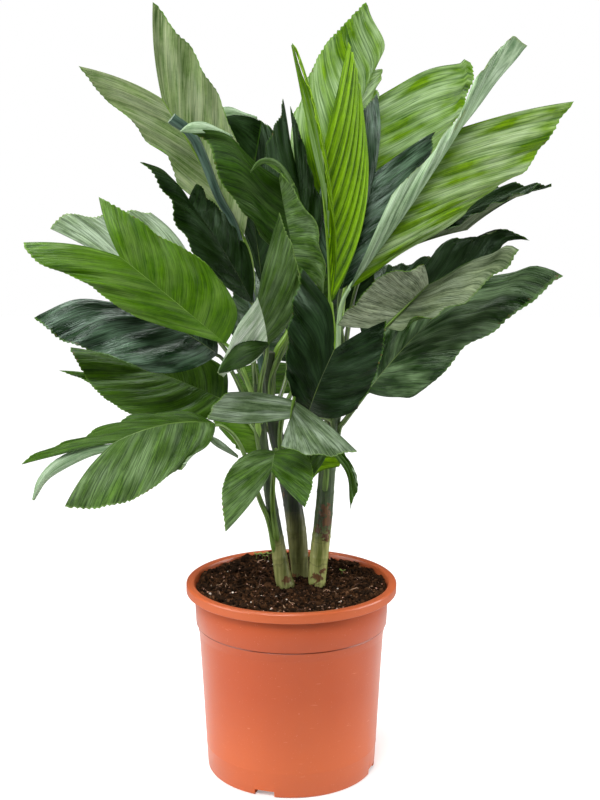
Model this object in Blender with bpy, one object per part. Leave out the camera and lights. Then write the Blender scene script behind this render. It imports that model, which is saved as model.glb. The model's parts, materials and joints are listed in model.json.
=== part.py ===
"""Potted metallic palm: three canes with forked, tooth-edged fronds in a nursery pot.

Lengths are in metres; the points of the plant are written in millimetres and scaled by MM.
X runs to the right, Y away from the viewer and Z up. The pot stands on Z = 0 about the origin.
"""

import math
import random

import bmesh
import bpy
import numpy as np

MM = 0.001
CLEARANCE = 0.35 * MM          # gap kept between two nodes that touch
HIDDEN_SEED = 11               # seeds the lumps of the soil

# Pot: a 21 cm container, measured on its outside.
POT_SIDES = 40
POT_HEIGHT = 192.5 * MM
RIM_RADIUS = 105 * MM
LIP_HEIGHT = 9.5 * MM
LIP_SKIRT = 2.2 * MM
MOUTH_RADIUS = 97 * MM         # inside of the lip, to which the wall flares
FLARE = 1.8 * MM
WALL = 2 * MM
BASE_RADIUS = 85 * MM
BAND_FOOT_RADIUS = 92.6 * MM
BAND_RADIUS = 95.6 * MM
NECK_RADIUS = 96.8 * MM
BAND_BOTTOM = 143 * MM
BAND_TOP = 151 * MM
BAND_LEDGE = 0.8 * MM
FLOOR_RECESS = 4.5 * MM
FLOOR_TOP = 7 * MM
FOOT_RING_WIDTH = 10 * MM
CENTRE_PAD_RADIUS = 15 * MM
NOTCH_WIDTH = 20 * MM
NOTCH_HEIGHT = 6.4 * MM
NOTCH_COUNT = 4
FIRST_NOTCH_ANGLE = math.radians(-108)
DRAIN_COUNT = 8
DRAIN_RADIUS = 3.5 * MM
DRAIN_CIRCLE = 52 * MM

# Soil: fills the pot to a little under its rim, and lies lower in the middle, about the canes.
SOIL_TOP = 183 * MM
SOIL_DISH = 5 * MM
SOIL_LUMP = 2.2 * MM
SOIL_RINGS = 6

# Blades.
BLADE_ROWS = 8
BLADE_COLUMNS = 3
BLADE_THICKNESS = 0.8 * MM
RIB_DEPTH = 2.4 * MM
RIB_TIP_SHARE = 0.25
FULL_SIZE = 170 * MM           # a lobe this long has the full rib, pleats and teeth
SMALLEST_SHARE = 0.45
CORNER_SHARE = 0.2             # swell of an edge, as a share of its length, for each radian of corner
PLEAT_DEPTH = 0.7 * MM
TOOTH_LENGTH = 3 * MM
PETIOLE_SIDES = 6
PETIOLE_STEPS = 9
PETIOLE_FOOT_RADIUS = 3.6 * MM
PETIOLE_TOP_RADIUS = 1.6 * MM
PETIOLE_SINK = 12 * MM

CANE_SIDES = 10
CANE_STEPS = 18
RING_SPACING = 24 * MM
RING_SWELL = 0.5 * MM

# Routes of the canes in millimetres, from the buried foot up, each with the radius there.
CANES = {
    "left": (
        (-1, 12, 138, 8.0), (-4, 11, 174, 9.6), (-9, 10, 196, 8.6), (-15, 8, 236, 6.6), (-21, 5, 277, 5.6),
        (-25, 4, 309, 5.4), (-29, 2, 340, 5.2), (-31, 0, 370, 5.0), (-32, -1, 391, 4.4)),
    "middle": (
        (12, 42, 138, 7.5), (10, 38, 175, 8.8), (7, 34, 217, 9.8), (2, 31, 259, 9.6), (-7, 28, 302, 8.0),
        (-16, 26, 340, 6.6), (-22, 22, 371, 6.2), (-23, 20, 396, 5.8), (-21, 18, 420, 5.0)),
    "right": (
        (23, 12, 138, 7.5), (25, 11, 174, 8.3), (28, 11, 214, 9.3), (32, 11, 252, 8.9), (36, 12, 306, 8.2),
        (40, 12, 348, 7.8), (43, 10, 388, 7.4), (44, 8, 428, 6.4)),
}

# Linear colours.
TERRACOTTA = (0.60, 0.135, 0.050)
SOIL_BROWN = (0.030, 0.016, 0.010)
CANE_GREEN = (0.130, 0.155, 0.060)
STALK_GREEN = (0.080, 0.120, 0.055)
YOUNG_GREEN = (0.170, 0.250, 0.022)
BRIGHT_GREEN = (0.085, 0.160, 0.028)
LEAF_GREEN = (0.050, 0.100, 0.030)
DARK_GREEN = (0.018, 0.042, 0.024)
BLUE_GREEN = (0.022, 0.048, 0.040)
PALE_GREEN = (0.150, 0.190, 0.110)

# Fronds. Points are (x, y, z) in millimetres. exit is the height at which the stalk leaves its
# cane, base is where the blade starts, and fork is the foot of the notch between the two lobes.
# Each lobe runs from its shoulder, where the toothed margin starts, to its tip. swell, heel and
# notch are how far the margin, the edge at the base and the edge of the notch curve outwards,
# as a share of their length, and bow is how far the midrib arches. The bends push a stretch of an
# edge outwards: how far along it they lie, how wide they are, and by how many millimetres.
FRONDS = {
    "frond_young_centre": dict(
        cane="right", exit=425, base=(38, -15, 472), fork=(25, -35, 601), bow=0.02, colour=YOUNG_GREEN,
        left=dict(tip=(1, -58, 707), shoulder=(35, -46, 562), swell=0.1,
                  margin_bends=((0.65, 0.35, 5),)),
        right=dict(tip=(53, -20, 712), shoulder=(66, 5, 650), swell=0.02)),
    "frond_upper_right": dict(
        cane="right", exit=407, base=(55, -30, 487), fork=(154, -45, 634), bow=0.03, colour=BRIGHT_GREEN,
        left=dict(tip=(208, -62, 705), shoulder=(90, -58, 574), swell=0.05,
                  margin_bends=((0.85, 0.3, 16), (0.97, 0.06, 5)), notch_bends=((0.55, 0.35, -8),)),
        right=dict(tip=(257, -35, 658), shoulder=(153, -20, 552), swell=0.09,
                   margin_bends=((0.55, 0.28, 9),), foot_bends=((0.5, 0.3, -6),))),
    "frond_centre_right": dict(
        cane="right", exit=395, base=(48, 8, 482), fork=(81, 24, 594), bow=0.03, colour=BLUE_GREEN,
        left=dict(tip=(83, 34, 670), shoulder=(32, 12, 590), foot_bends=((0.45, 0.35, 14),)),
        right=dict(tip=(141, 39, 633), shoulder=(114, 34, 556))),
    "frond_back_right": dict(
        cane="right", exit=419, base=(61, 66, 527), fork=(86, 90, 668), bow=0.05, colour=BRIGHT_GREEN,
        left=dict(tip=(65, 105, 716), shoulder=(39, 95, 616)),
        right=dict(tip=(185, 120, 705), shoulder=(144, 105, 601), swell=0.02,
                   notch_bends=((0.55, 0.3, 4), (0.95, 0.04, 4)))),
    "frond_top": dict(
        cane="middle", exit=410, base=(30, 38, 507), fork=(64, 48, 687), bow=0.04, colour=BRIGHT_GREEN,
        left=dict(tip=(72, 42, 755), shoulder=(3, 40, 646), swell=0.04,
                  margin_bends=((0.5, 0.35, 8),), notch_bends=((0.5, 0.35, 13),)),
        right=dict(tip=(89, 66, 694), shoulder=(76, 64, 645))),
    "frond_centre_dark": dict(
        cane="middle", exit=397, base=(20, -2, 497), fork=(6, 0, 594), bow=0.03, colour=DARK_GREEN,
        left=dict(tip=(-8, -2, 662), shoulder=(-26, 8, 596), margin_bends=((0.75, 0.2, -4),)),
        right=dict(tip=(-1, -4, 655), shoulder=(27, -2, 563))),
    "frond_tucked_left": dict(
        cane="middle", exit=371, base=(-28, 55, 475), fork=(-46, 75, 606), bow=0.03, colour=DARK_GREEN,
        left=dict(tip=(-78, 60, 645), shoulder=(-52, 70, 549), notch=-0.04),
        right=dict(tip=(-52, 90, 654), shoulder=(-11, 85, 630), notch=-0.04)),
    "frond_folded_left": dict(
        cane="middle", exit=383, base=(8, -48, 500), fork=(-11, -58, 589), bow=0.04, colour=LEAF_GREEN,
        left=dict(tip=(-92, -50, 631), shoulder=(-22, -34, 532), swell=0.05,
                  margin_bends=((0.8, 0.15, -9),), notch_bends=((0.65, 0.3, 13),)),
        right=dict(tip=(-26, -88, 607), shoulder=(28, -42, 480), swell=0.1, arch=-0.2,
                   margin_bends=((0.4, 0.25, 4),))),
    "frond_upper_left": dict(
        cane="middle", exit=363, base=(-47, 32, 531), fork=(-123, 15, 663), bow=0.05, colour=PALE_GREEN,
        left=dict(tip=(-127, -15, 747), shoulder=(-47, 25, 610), swell=0.07,
                  margin_bends=((0.6, 0.3, 3),)),
        right=dict(tip=(-199, 0, 692), shoulder=(-108, 30, 581), swell=-0.02, heel=0.02,
                   margin_bends=((0.2, 0.15, -5), (0.8, 0.15, 4)))),
    "frond_left_dark": dict(
        cane="left", exit=388, base=(-38, 5, 470), fork=(-97, -12, 568), bow=0.04, colour=DARK_GREEN,
        left=dict(tip=(-139, -30, 604), shoulder=(-71, -35, 497), swell=0.08,
                  margin_bends=((0.25, 0.2, 6), (0.75, 0.15, -9)), notch_bends=((0.6, 0.3, 7),)),
        right=dict(tip=(-91, 6, 583), shoulder=(-45, 4, 525))),
    "frond_left_bright": dict(
        cane="left", exit=362, base=(-62, -35, 435), fork=(-156, -65, 519), bow=0.05, colour=BRIGHT_GREEN,
        left=dict(tip=(-240, -80, 533), shoulder=(-137, -74, 463), swell=0.04, heel=0.02,
                  margin_bends=((0.45, 0.15, -4), (0.85, 0.15, 7))),
        right=dict(tip=(-175, -55, 572), shoulder=(-64, -50, 494), swell=0.05,
                   margin_bends=((0.25, 0.2, 3), (0.5, 0.2, -4)), foot_bends=((0.5, 0.35, 5),))),
    "frond_left_glossy": dict(
        cane="left", exit=343, base=(-71, -15, 422), fork=(-154, -25, 471), bow=0.06, colour=BLUE_GREEN,
        left=dict(tip=(-240, -45, 461), shoulder=(-131, -55, 412), swell=0.05,
                  margin_bends=((0.72, 0.2, 6),), notch_bends=((0.55, 0.3, 7),)),
        right=dict(tip=(-183, -5, 483), shoulder=(-84, 5, 455))),
    "frond_left_under": dict(
        cane="left", exit=332, base=(-65, 25, 369), fork=(-155, 25, 406), bow=0.05, colour=LEAF_GREEN,
        left=dict(tip=(-217, 15, 425), shoulder=(-139, 0, 354), swell=0.04,
                  margin_bends=((0.5, 0.4, 12),), foot_bends=((0.4, 0.3, 5),)),
        right=dict(tip=(-212, 45, 440), shoulder=(-102, 45, 420), foot_bends=((0.4, 0.3, 10),))),
    "frond_low_left": dict(
        cane="left", exit=240, base=(-72, -45, 360), fork=(-162, -95, 352), bow=0.10, colour=LEAF_GREEN,
        left=dict(tip=(-201, -130, 302), shoulder=(-92, -95, 338), swell=0.04,
                  margin_bends=((0.4, 0.25, 9), (0.72, 0.22, 9))),
        right=dict(tip=(-246, -95, 333), shoulder=(-127, -35, 370), notch_bends=((0.6, 0.3, -4),))),
    "frond_rear_low_left": dict(
        cane="middle", exit=329, base=(-94, 70, 360), fork=(-158, 90, 372), bow=0.06, colour=LEAF_GREEN,
        left=dict(tip=(-243, 95, 389), shoulder=(-147, 80, 358)),
        right=dict(tip=(-213, 115, 414), shoulder=(-123, 110, 404))),
    "frond_rear_left": dict(
        cane="middle", exit=345, base=(-93, 70, 443), fork=(-171, 90, 493), bow=0.05, colour=DARK_GREEN,
        left=dict(tip=(-242, 55, 526), shoulder=(-164, 60, 474)),
        right=dict(tip=(-254, 125, 536), shoulder=(-148, 130, 553),
                   margin_bends=((0.45, 0.2, -3), (0.82, 0.13, 9)))),
    "frond_front_curled": dict(
        cane="left", exit=376, base=(-22, -65, 438), fork=(-30, -100, 485), bow=0.05, colour=LEAF_GREEN,
        left=dict(tip=(-64, -134, 423), shoulder=(-58, -108, 420), swell=0.04, heel=0.04,
                  margin_bends=((0.5, 0.3, 2),), notch_bends=((0.5, 0.35, 11),),
                  foot_bends=((0.35, 0.3, 4),)),
        right=dict(tip=(-11, -110, 560), shoulder=(8, -85, 489), swell=0.05)),
    "frond_front_dark": dict(
        cane="right", exit=342, base=(16, -70, 376), fork=(38, -110, 440), bow=0.08, colour=DARK_GREEN,
        left=dict(tip=(10, -100, 511), shoulder=(-3, -90, 407), swell=0.08,
                  notch_bends=((0.5, 0.35, 10),)),
        right=dict(tip=(83, -120, 467), shoulder=(58, -110, 387), swell=0.1)),
    "frond_turned_right": dict(
        cane="right", exit=381, base=(88, -35, 450), fork=(126, -55, 493), bow=0.04, colour=PALE_GREEN,
        left=dict(tip=(208, -70, 523), shoulder=(111, -62, 459), swell=0.06,
                  margin_bends=((0.35, 0.2, 5),), notch_bends=((0.55, 0.3, 8), (0.88, 0.12, 6))),
        right=dict(tip=(119, -80, 511), shoulder=(43, -40, 454), swell=0.1,
                   margin_bends=((0.7, 0.25, 8),))),
    "frond_low_right": dict(
        cane="right", exit=332, base=(74, 0, 383), fork=(143, -5, 462), bow=0.04, colour=DARK_GREEN,
        left=dict(tip=(183, 15, 508), shoulder=(92, 22, 439)),
        right=dict(tip=(258, -15, 497), shoulder=(122, -30, 388), swell=0.03, heel=0.1,
                   margin_bends=((0.35, 0.12, -8), (0.9, 0.1, -2)),
                   notch_bends=((0.45, 0.3, 13), (0.82, 0.15, 17)), foot_bends=((0.85, 0.15, 3),))),
    "frond_shaded_right": dict(
        cane="right", exit=363, base=(80, 35, 431), fork=(149, 45, 462), bow=0.05, colour=DARK_GREEN,
        left=dict(tip=(236, 50, 527), shoulder=(121, 45, 503),
                  margin_bends=((0.45, 0.2, 11), (0.82, 0.13, 13)),
                  notch_bends=((0.5, 0.3, -12), (0.82, 0.14, -12))),
        right=dict(tip=(211, 60, 475), shoulder=(125, 50, 436))),
    "frond_far_right": dict(
        cane="right", exit=389, base=(89, 60, 509), fork=(178, 71, 537), bow=0.05, colour=DARK_GREEN,
        left=dict(tip=(265, 95, 583), shoulder=(167, 95, 578), notch=-0.03,
                  margin_bends=((0.6, 0.35, -6),)),
        right=dict(tip=(247, 50, 581), shoulder=(157, 48, 538), notch=-0.03)),
    "frond_front_draped": dict(
        cane="middle", exit=316, base=(2, -86, 390), fork=(-1, -110, 378), bow=0.05, colour=PALE_GREEN,
        left=dict(tip=(-74, -135, 382), shoulder=(-56, -122, 404), swell=0.1, heel=0.08),
        right=dict(tip=(-9, -128, 357), shoulder=(59, -112, 349), swell=0.1, heel=0.08)),
    "frond_front_low": dict(
        cane="left", exit=252, base=(-15, -75, 340), fork=(-18, -100, 327), bow=0.10, colour=LEAF_GREEN,
        left=dict(tip=(12, -125, 300), shoulder=(16, -95, 340), swell=0.12),
        right=dict(tip=(-58, -140, 282), shoulder=(-47, -100, 339), swell=0.12,
                   margin_bends=((0.4, 0.35, 4),))),
    "frond_small_lime": dict(
        cane="left", exit=304, base=(-30, 26, 317), fork=(-45, 30, 341), bow=0.05, colour=YOUNG_GREEN,
        left=dict(tip=(-68, 32, 345), shoulder=(-54, 28, 320)),
        right=dict(tip=(-51, 32, 361), shoulder=(-26, 26, 341), swell=0.1)),
    "frond_small_hanging": dict(
        cane="right", exit=301, base=(29, -45, 352), fork=(36, -62, 339), bow=0.10, colour=LEAF_GREEN,
        left=dict(tip=(55, -72, 284), shoulder=(57, -60, 321), margin_bends=((0.45, 0.3, 2),),
                  notch_bends=((0.5, 0.35, -6),)),
        right=dict(tip=(19, -88, 318), shoulder=(12, -62, 337))),
    "frond_rear_high": dict(
        cane="right", exit=401, base=(24, 88, 452), fork=(28, 135, 560), bow=0.08, colour=LEAF_GREEN,
        left=dict(tip=(7, 180, 628), shoulder=(-10, 130, 520)),
        right=dict(tip=(64, 185, 617), shoulder=(76, 135, 508))),
    "frond_rear_right": dict(
        cane="right", exit=347, base=(74, 85, 425), fork=(118, 135, 462), bow=0.10, colour=BRIGHT_GREEN,
        left=dict(tip=(142, 195, 492), shoulder=(80, 140, 486)),
        right=dict(tip=(185, 175, 466), shoulder=(116, 128, 432))),
    "frond_rear_low_right": dict(
        cane="right", exit=322, base=(63, 80, 373), fork=(91, 130, 389), bow=0.10, colour=DARK_GREEN,
        left=dict(tip=(116, 190, 404), shoulder=(63, 135, 403)),
        right=dict(tip=(148, 175, 383), shoulder=(101, 125, 363))),
    "frond_rear_middle": dict(
        cane="middle", exit=340, base=(-4, 85, 400), fork=(-9, 140, 462), bow=0.10, colour=DARK_GREEN,
        left=dict(tip=(-52, 195, 492), shoulder=(-68, 138, 428)),
        right=dict(tip=(35, 200, 490), shoulder=(56, 138, 428))),
    "frond_rear_drooping": dict(
        cane="middle", exit=308, base=(9, 95, 366), fork=(9, 140, 388), bow=0.12, colour=LEAF_GREEN,
        left=dict(tip=(-62, 190, 376), shoulder=(-50, 138, 354), heel=0.05),
        right=dict(tip=(52, 192, 379), shoulder=(42, 138, 363))),
}

LOBE_SHAPE = dict(
    swell=0.06, heel=0.12, notch=0.04, arch=0.05, margin_bends=(), notch_bends=(), foot_bends=())

# A leaf stalk whose blade was cut off: route and radius in millimetres.
CUT_STALKS = {
    "cut_stalk_tall": dict(
        cane="middle", exit=350, sides=8,
        route=((-31, 18, 415, 3.6), (-40, 15, 480, 3.8), (-54, 13, 540, 4.0), (-70, 9, 572, 4.2),
               (-91, -2, 625, 4.8), (-112, -8, 644, 5.4))),
}
CUT_END_DEPTH = 9 * MM
CUT_END_WALL = 0.62            # bore of the hollow cut end as a share of the stalk's radius


def clear_scene():
    for thing in list(bpy.data.objects):
        bpy.data.objects.remove(thing, do_unlink=True)


def unit(vector):
    return vector / max(np.linalg.norm(vector), 1e-12)


def point(values):
    return np.array(values[:3], float) * MM


def make_material(name, colour, roughness):
    material = bpy.data.materials.new(name)
    material.use_nodes = True
    shader = material.node_tree.nodes["Principled BSDF"]
    shader.inputs["Base Color"].default_value = (*colour, 1.0)
    shader.inputs["Roughness"].default_value = roughness
    shader.inputs["Metallic"].default_value = 0.0
    return material


def mesh_object(name, vertices, faces, origin=(0.0, 0.0, 0.0)):
    """An object whose mesh has the given world vertices and whose origin is at origin."""
    mesh = bpy.data.meshes.new(name)
    local = np.asarray(vertices, float) - np.asarray(origin, float)
    mesh.from_pydata([tuple(v) for v in local], [], [tuple(int(i) for i in f) for f in faces])
    mesh.validate()
    thing = bpy.data.objects.new(name, mesh)
    thing.location = tuple(origin)
    bpy.context.collection.objects.link(thing)
    return thing


def combine(target, tool, operation):
    """Join tool to target, or cut it away, and remove the tool."""
    step = target.modifiers.new(operation.title(), "BOOLEAN")
    step.object = tool
    step.operation = operation
    for solver in ("EXACT", "MANIFOLD"):
        step.solver = solver
        bpy.context.view_layer.update()
        graph = bpy.context.evaluated_depsgraph_get()
        result = bpy.data.meshes.new_from_object(target.evaluated_get(graph))
        if result.polygons:
            break
        bpy.data.meshes.remove(result)
    target.modifiers.clear()
    old = target.data
    target.data = result
    bpy.data.meshes.remove(old)
    bpy.data.objects.remove(tool, do_unlink=True)


def finish_node(thing, colour, roughness, parent=None):
    """Weld stray doubles, give the node its material and hang it under its parent."""
    form = bmesh.new()
    form.from_mesh(thing.data)
    bmesh.ops.remove_doubles(form, verts=form.verts, dist=0.01 * MM)
    bmesh.ops.dissolve_degenerate(form, edges=form.edges, dist=0.005 * MM)
    bmesh.ops.triangulate(form, faces=form.faces)
    form.to_mesh(thing.data)
    form.free()
    thing.data.materials.clear()
    thing.data.materials.append(make_material(thing.name, colour, roughness))
    if parent is not None:
        thing.parent = parent
        offset = thing.location - parent.matrix_world.translation
        thing.location = offset
        bpy.context.view_layer.update()
    return thing


def revolve(profile, sides):
    """Turn a closed outline of (radius, height) about Z; points on the axis become poles."""
    vertices = []
    rings = []
    for radius, height in profile:
        if radius == 0:
            rings.append([len(vertices)] * sides)
            vertices.append((0, 0, height))
        else:
            rings.append(list(range(len(vertices), len(vertices) + sides)))
            for k in range(sides):
                angle = 2 * math.pi * k / sides
                vertices.append((radius * math.cos(angle), radius * math.sin(angle), height))
    faces = []
    for lower, upper in zip(rings, rings[1:]):
        for k in range(sides):
            following = (k + 1) % sides
            corners = (lower[k], lower[following], upper[following], upper[k])
            faces.append(tuple(dict.fromkeys(corners)))
    return vertices, faces


def box_tool(name, centre, size, angle):
    half = np.array(size) / 2
    along, across = math.cos(angle), math.sin(angle)
    turn = np.array([[along, -across, 0], [across, along, 0], [0, 0, 1]])
    corners = []
    for x in (-1, 1):
        for y in (-1, 1):
            for z in (-1, 1):
                corners.append(turn @ (half * (x, y, z)) + centre)
    faces = ((0, 1, 3, 2), (4, 6, 7, 5), (0, 4, 5, 1), (2, 3, 7, 6), (0, 2, 6, 4), (1, 5, 7, 3))
    return mesh_object(name, corners, faces)


def outer_radius(height):
    """Outside radius of the pot's wall."""
    heights = (0, BAND_BOTTOM, BAND_TOP, POT_HEIGHT - LIP_HEIGHT)
    radii = (BASE_RADIUS, BAND_FOOT_RADIUS, BAND_RADIUS, NECK_RADIUS)
    return float(np.interp(height, heights, radii))


def inner_radius(height):
    """Inside radius of the pot's wall."""
    return outer_radius(height) - WALL


def make_pot():
    lip_bottom = POT_HEIGHT - LIP_HEIGHT
    foot_inner = BASE_RADIUS - FOOT_RING_WIDTH
    lip_round = 1.6 * MM
    profile = [
        (0, 0), (CENTRE_PAD_RADIUS, 0), (CENTRE_PAD_RADIUS + 1 * MM, FLOOR_RECESS),
        (foot_inner - 1 * MM, FLOOR_RECESS), (foot_inner, 0), (BASE_RADIUS - 1 * MM, 0),
        (outer_radius(1 * MM), 1 * MM), (BAND_FOOT_RADIUS, BAND_BOTTOM),
        (BAND_RADIUS - BAND_LEDGE, BAND_TOP), (BAND_RADIUS, BAND_TOP),
        (NECK_RADIUS, lip_bottom), (NECK_RADIUS + FLARE, POT_HEIGHT - LIP_SKIRT * 1.4),
        (RIM_RADIUS - LIP_SKIRT, POT_HEIGHT - LIP_SKIRT * 1.4), (RIM_RADIUS - LIP_SKIRT, lip_bottom),
        (RIM_RADIUS, lip_bottom), (RIM_RADIUS, POT_HEIGHT - lip_round), (RIM_RADIUS - lip_round, POT_HEIGHT),
        (MOUTH_RADIUS + lip_round, POT_HEIGHT), (MOUTH_RADIUS, POT_HEIGHT - lip_round),
        (inner_radius(lip_bottom), lip_bottom), (inner_radius(BAND_TOP), BAND_TOP),
        (inner_radius(BAND_BOTTOM), BAND_BOTTOM), (inner_radius(FLOOR_TOP) - 0.4 * MM, FLOOR_TOP + 3 * MM),
        (inner_radius(FLOOR_TOP) - 3 * MM, FLOOR_TOP), (0, FLOOR_TOP)]
    vertices, faces = revolve(profile, POT_SIDES)
    pot = mesh_object("pot", vertices, faces)
    for k in range(NOTCH_COUNT):
        angle = FIRST_NOTCH_ANGLE + k * 2 * math.pi / NOTCH_COUNT
        depth = FOOT_RING_WIDTH * 2
        centre = (BASE_RADIUS - FOOT_RING_WIDTH / 2) * np.array([math.cos(angle), math.sin(angle), 0])
        size = (depth, NOTCH_WIDTH, NOTCH_HEIGHT * 2 - 1.2 * MM)
        combine(pot, box_tool("notch tool", centre, size, angle), "DIFFERENCE")
    for k in range(DRAIN_COUNT):
        angle = FIRST_NOTCH_ANGLE + (k + 0.5) * 2 * math.pi / DRAIN_COUNT
        foot = DRAIN_CIRCLE * np.array([math.cos(angle), math.sin(angle), 0])
        route = [foot + (0, 0, FLOOR_RECESS / 2), foot + (0, 0, FLOOR_TOP + FLOOR_RECESS)]
        vertices, faces = tube(route, (DRAIN_RADIUS, DRAIN_RADIUS), 8)
        combine(pot, mesh_object("drain tool", vertices, faces), "DIFFERENCE")
    return finish_node(pot, TERRACOTTA, 0.42)


def soil_height(x, y, lumps):
    """Height of the soil at a place: a sum of a few gentle waves."""
    total = 0.0
    for direction, length, phase in lumps:
        along = x * math.cos(direction) + y * math.sin(direction)
        total += math.sin(2 * math.pi * along / length + phase)
    return SOIL_TOP + SOIL_LUMP * total / len(lumps)


def make_soil(pot, canes):
    draw = random.Random(HIDDEN_SEED)
    lumps = [(draw.uniform(0, math.pi), draw.uniform(26, 60) * MM, draw.uniform(0, 6.28)) for _ in range(7)]
    edge = inner_radius(SOIL_TOP) - CLEARANCE
    profile = [
        (0, FLOOR_TOP + CLEARANCE), (inner_radius(FLOOR_TOP) - 3.4 * MM - CLEARANCE, FLOOR_TOP + CLEARANCE),
        (inner_radius(FLOOR_TOP) - 1.2 * MM - CLEARANCE, FLOOR_TOP + 3.4 * MM),
        (BAND_FOOT_RADIUS - WALL - CLEARANCE, BAND_BOTTOM),
        (BAND_RADIUS - WALL - CLEARANCE, BAND_TOP + CLEARANCE), (edge, SOIL_TOP - 4 * MM)]
    for ring in range(SOIL_RINGS):
        profile.append((edge * (1 - ring / SOIL_RINGS) - 0.3 * MM, SOIL_TOP))
    profile.append((0, SOIL_TOP))
    vertices, faces = revolve(profile, POT_SIDES)
    shaped = []
    for x, y, z in vertices:
        if z == SOIL_TOP:
            reach = math.hypot(x, y) / edge
            z = soil_height(x, y, lumps) + SOIL_DISH * reach ** 2
        shaped.append((x, y, z))
    soil = mesh_object("soil", shaped, faces, origin=(0, 0, FLOOR_TOP + CLEARANCE))
    for side in CANES:
        path, radii = canes[side]
        foot = path[:7].copy()
        foot[0] = foot[0] - unit(foot[1] - foot[0]) * CLEARANCE
        vertices, faces = tube(foot, radii[:7] + CLEARANCE, CANE_SIDES)
        combine(soil, mesh_object("root hole tool", vertices, faces), "DIFFERENCE")
    return finish_node(soil, SOIL_BROWN, 0.95, pot)


def smooth_path(points, steps):
    """Points along a Catmull-Rom curve through the given ones; any number of columns."""
    knots = np.array(points, float)
    knots = np.vstack([2 * knots[0] - knots[1], knots, 2 * knots[-1] - knots[-2]])
    spans = len(knots) - 3
    result = []
    for place in np.linspace(0, spans, steps + 1):
        k = min(int(place), spans - 1)
        t = place - k
        a, b, c, d = knots[k:k + 4]
        result.append(0.5 * (2 * b + (c - a) * t + (2 * a - 5 * b + 4 * c - d) * t ** 2
                             + (3 * b - a - 3 * c + d) * t ** 3))
    return np.array(result)


def tube(path, radii, sides):
    """A closed round rod along a path."""
    path = np.asarray(path, float)
    tangents = np.gradient(path, axis=0)
    across = None
    vertices = []
    for centre, tangent, radius in zip(path, tangents, radii):
        tangent = unit(tangent)
        if across is None:
            guide = np.array([0, 0, 1.0]) if abs(tangent[2]) < 0.95 else np.array([1.0, 0, 0])
            across = np.cross(tangent, guide)
        across = unit(across - tangent * (across @ tangent))
        other = np.cross(tangent, across)
        for k in range(sides):
            angle = 2 * math.pi * k / sides
            vertices.append(centre + radius * (math.cos(angle) * across + math.sin(angle) * other))
    faces = [tuple(range(sides - 1, -1, -1))]
    for ring in range(len(path) - 1):
        start = ring * sides
        for k in range(sides):
            following = (k + 1) % sides
            faces.append((start + k, start + following, start + following + sides, start + k + sides))
    last = (len(path) - 1) * sides
    faces.append(tuple(range(last, last + sides)))
    return vertices, faces


def cane_routes():
    """Path and radii of each cane, with the low rings of old leaf scars."""
    routes = {}
    for side, knots in CANES.items():
        smooth = smooth_path(knots, CANE_STEPS) * MM
        path, radii = smooth[:, :3], smooth[:, 3].copy()
        phase = path[:, 2] / RING_SPACING * 2 * math.pi
        radii += RING_SWELL * np.maximum(0, np.sin(phase))
        routes[side] = (path, radii)
    return routes


def make_cane(side, route, parent):
    path, radii = route
    vertices, faces = tube(path, radii, CANE_SIDES)
    cane = mesh_object("cane_" + side, vertices, faces, origin=path[0])
    return finish_node(cane, CANE_GREEN, 0.6, parent)


def place_on_cane(route, height):
    """Point of the cane's centre line at a height, and its direction there."""
    path = route[0]
    here = np.array([np.interp(height, path[:, 2], path[:, k]) for k in range(3)])
    above = np.array([np.interp(height + 8 * MM, path[:, 2], path[:, k]) for k in range(3)])
    return here, unit(above - here + np.array([0, 0, 0.1 * MM]))


def bowed(start, end, steps, push):
    """Points from start to end, pushed aside by a parabola."""
    t = np.linspace(0, 1, steps + 1)[:, None]
    return (1 - t) * start + t * end + 4 * t * (1 - t) * push


def bent(line, outward, bends):
    """Push stretches of an edge outwards; its two ends stay where they are."""
    t = np.linspace(0, 1, len(line))
    inner = (t > 0) & (t < 1)
    for centre, width, out in bends:
        bump = np.exp(-((t - centre) / width) ** 2) * inner
        line = line + bump[:, None] * outward * out * MM
    return line


def bezier(start, first, second, end, steps):
    t = np.linspace(0, 1, steps + 1)[:, None]
    return ((1 - t) ** 3 * start + 3 * (1 - t) ** 2 * t * first
            + 3 * (1 - t) * t ** 2 * second + t ** 3 * end)


def away_from(vector, inner):
    return -vector if vector @ inner > 0 else vector


def turning(first, second, inward):
    """Angle by which second turns away from first, positive towards inward."""
    inward = unit(inward - unit(first) * (inward @ unit(first)))
    return math.atan2(second @ inward, second @ unit(first))


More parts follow.
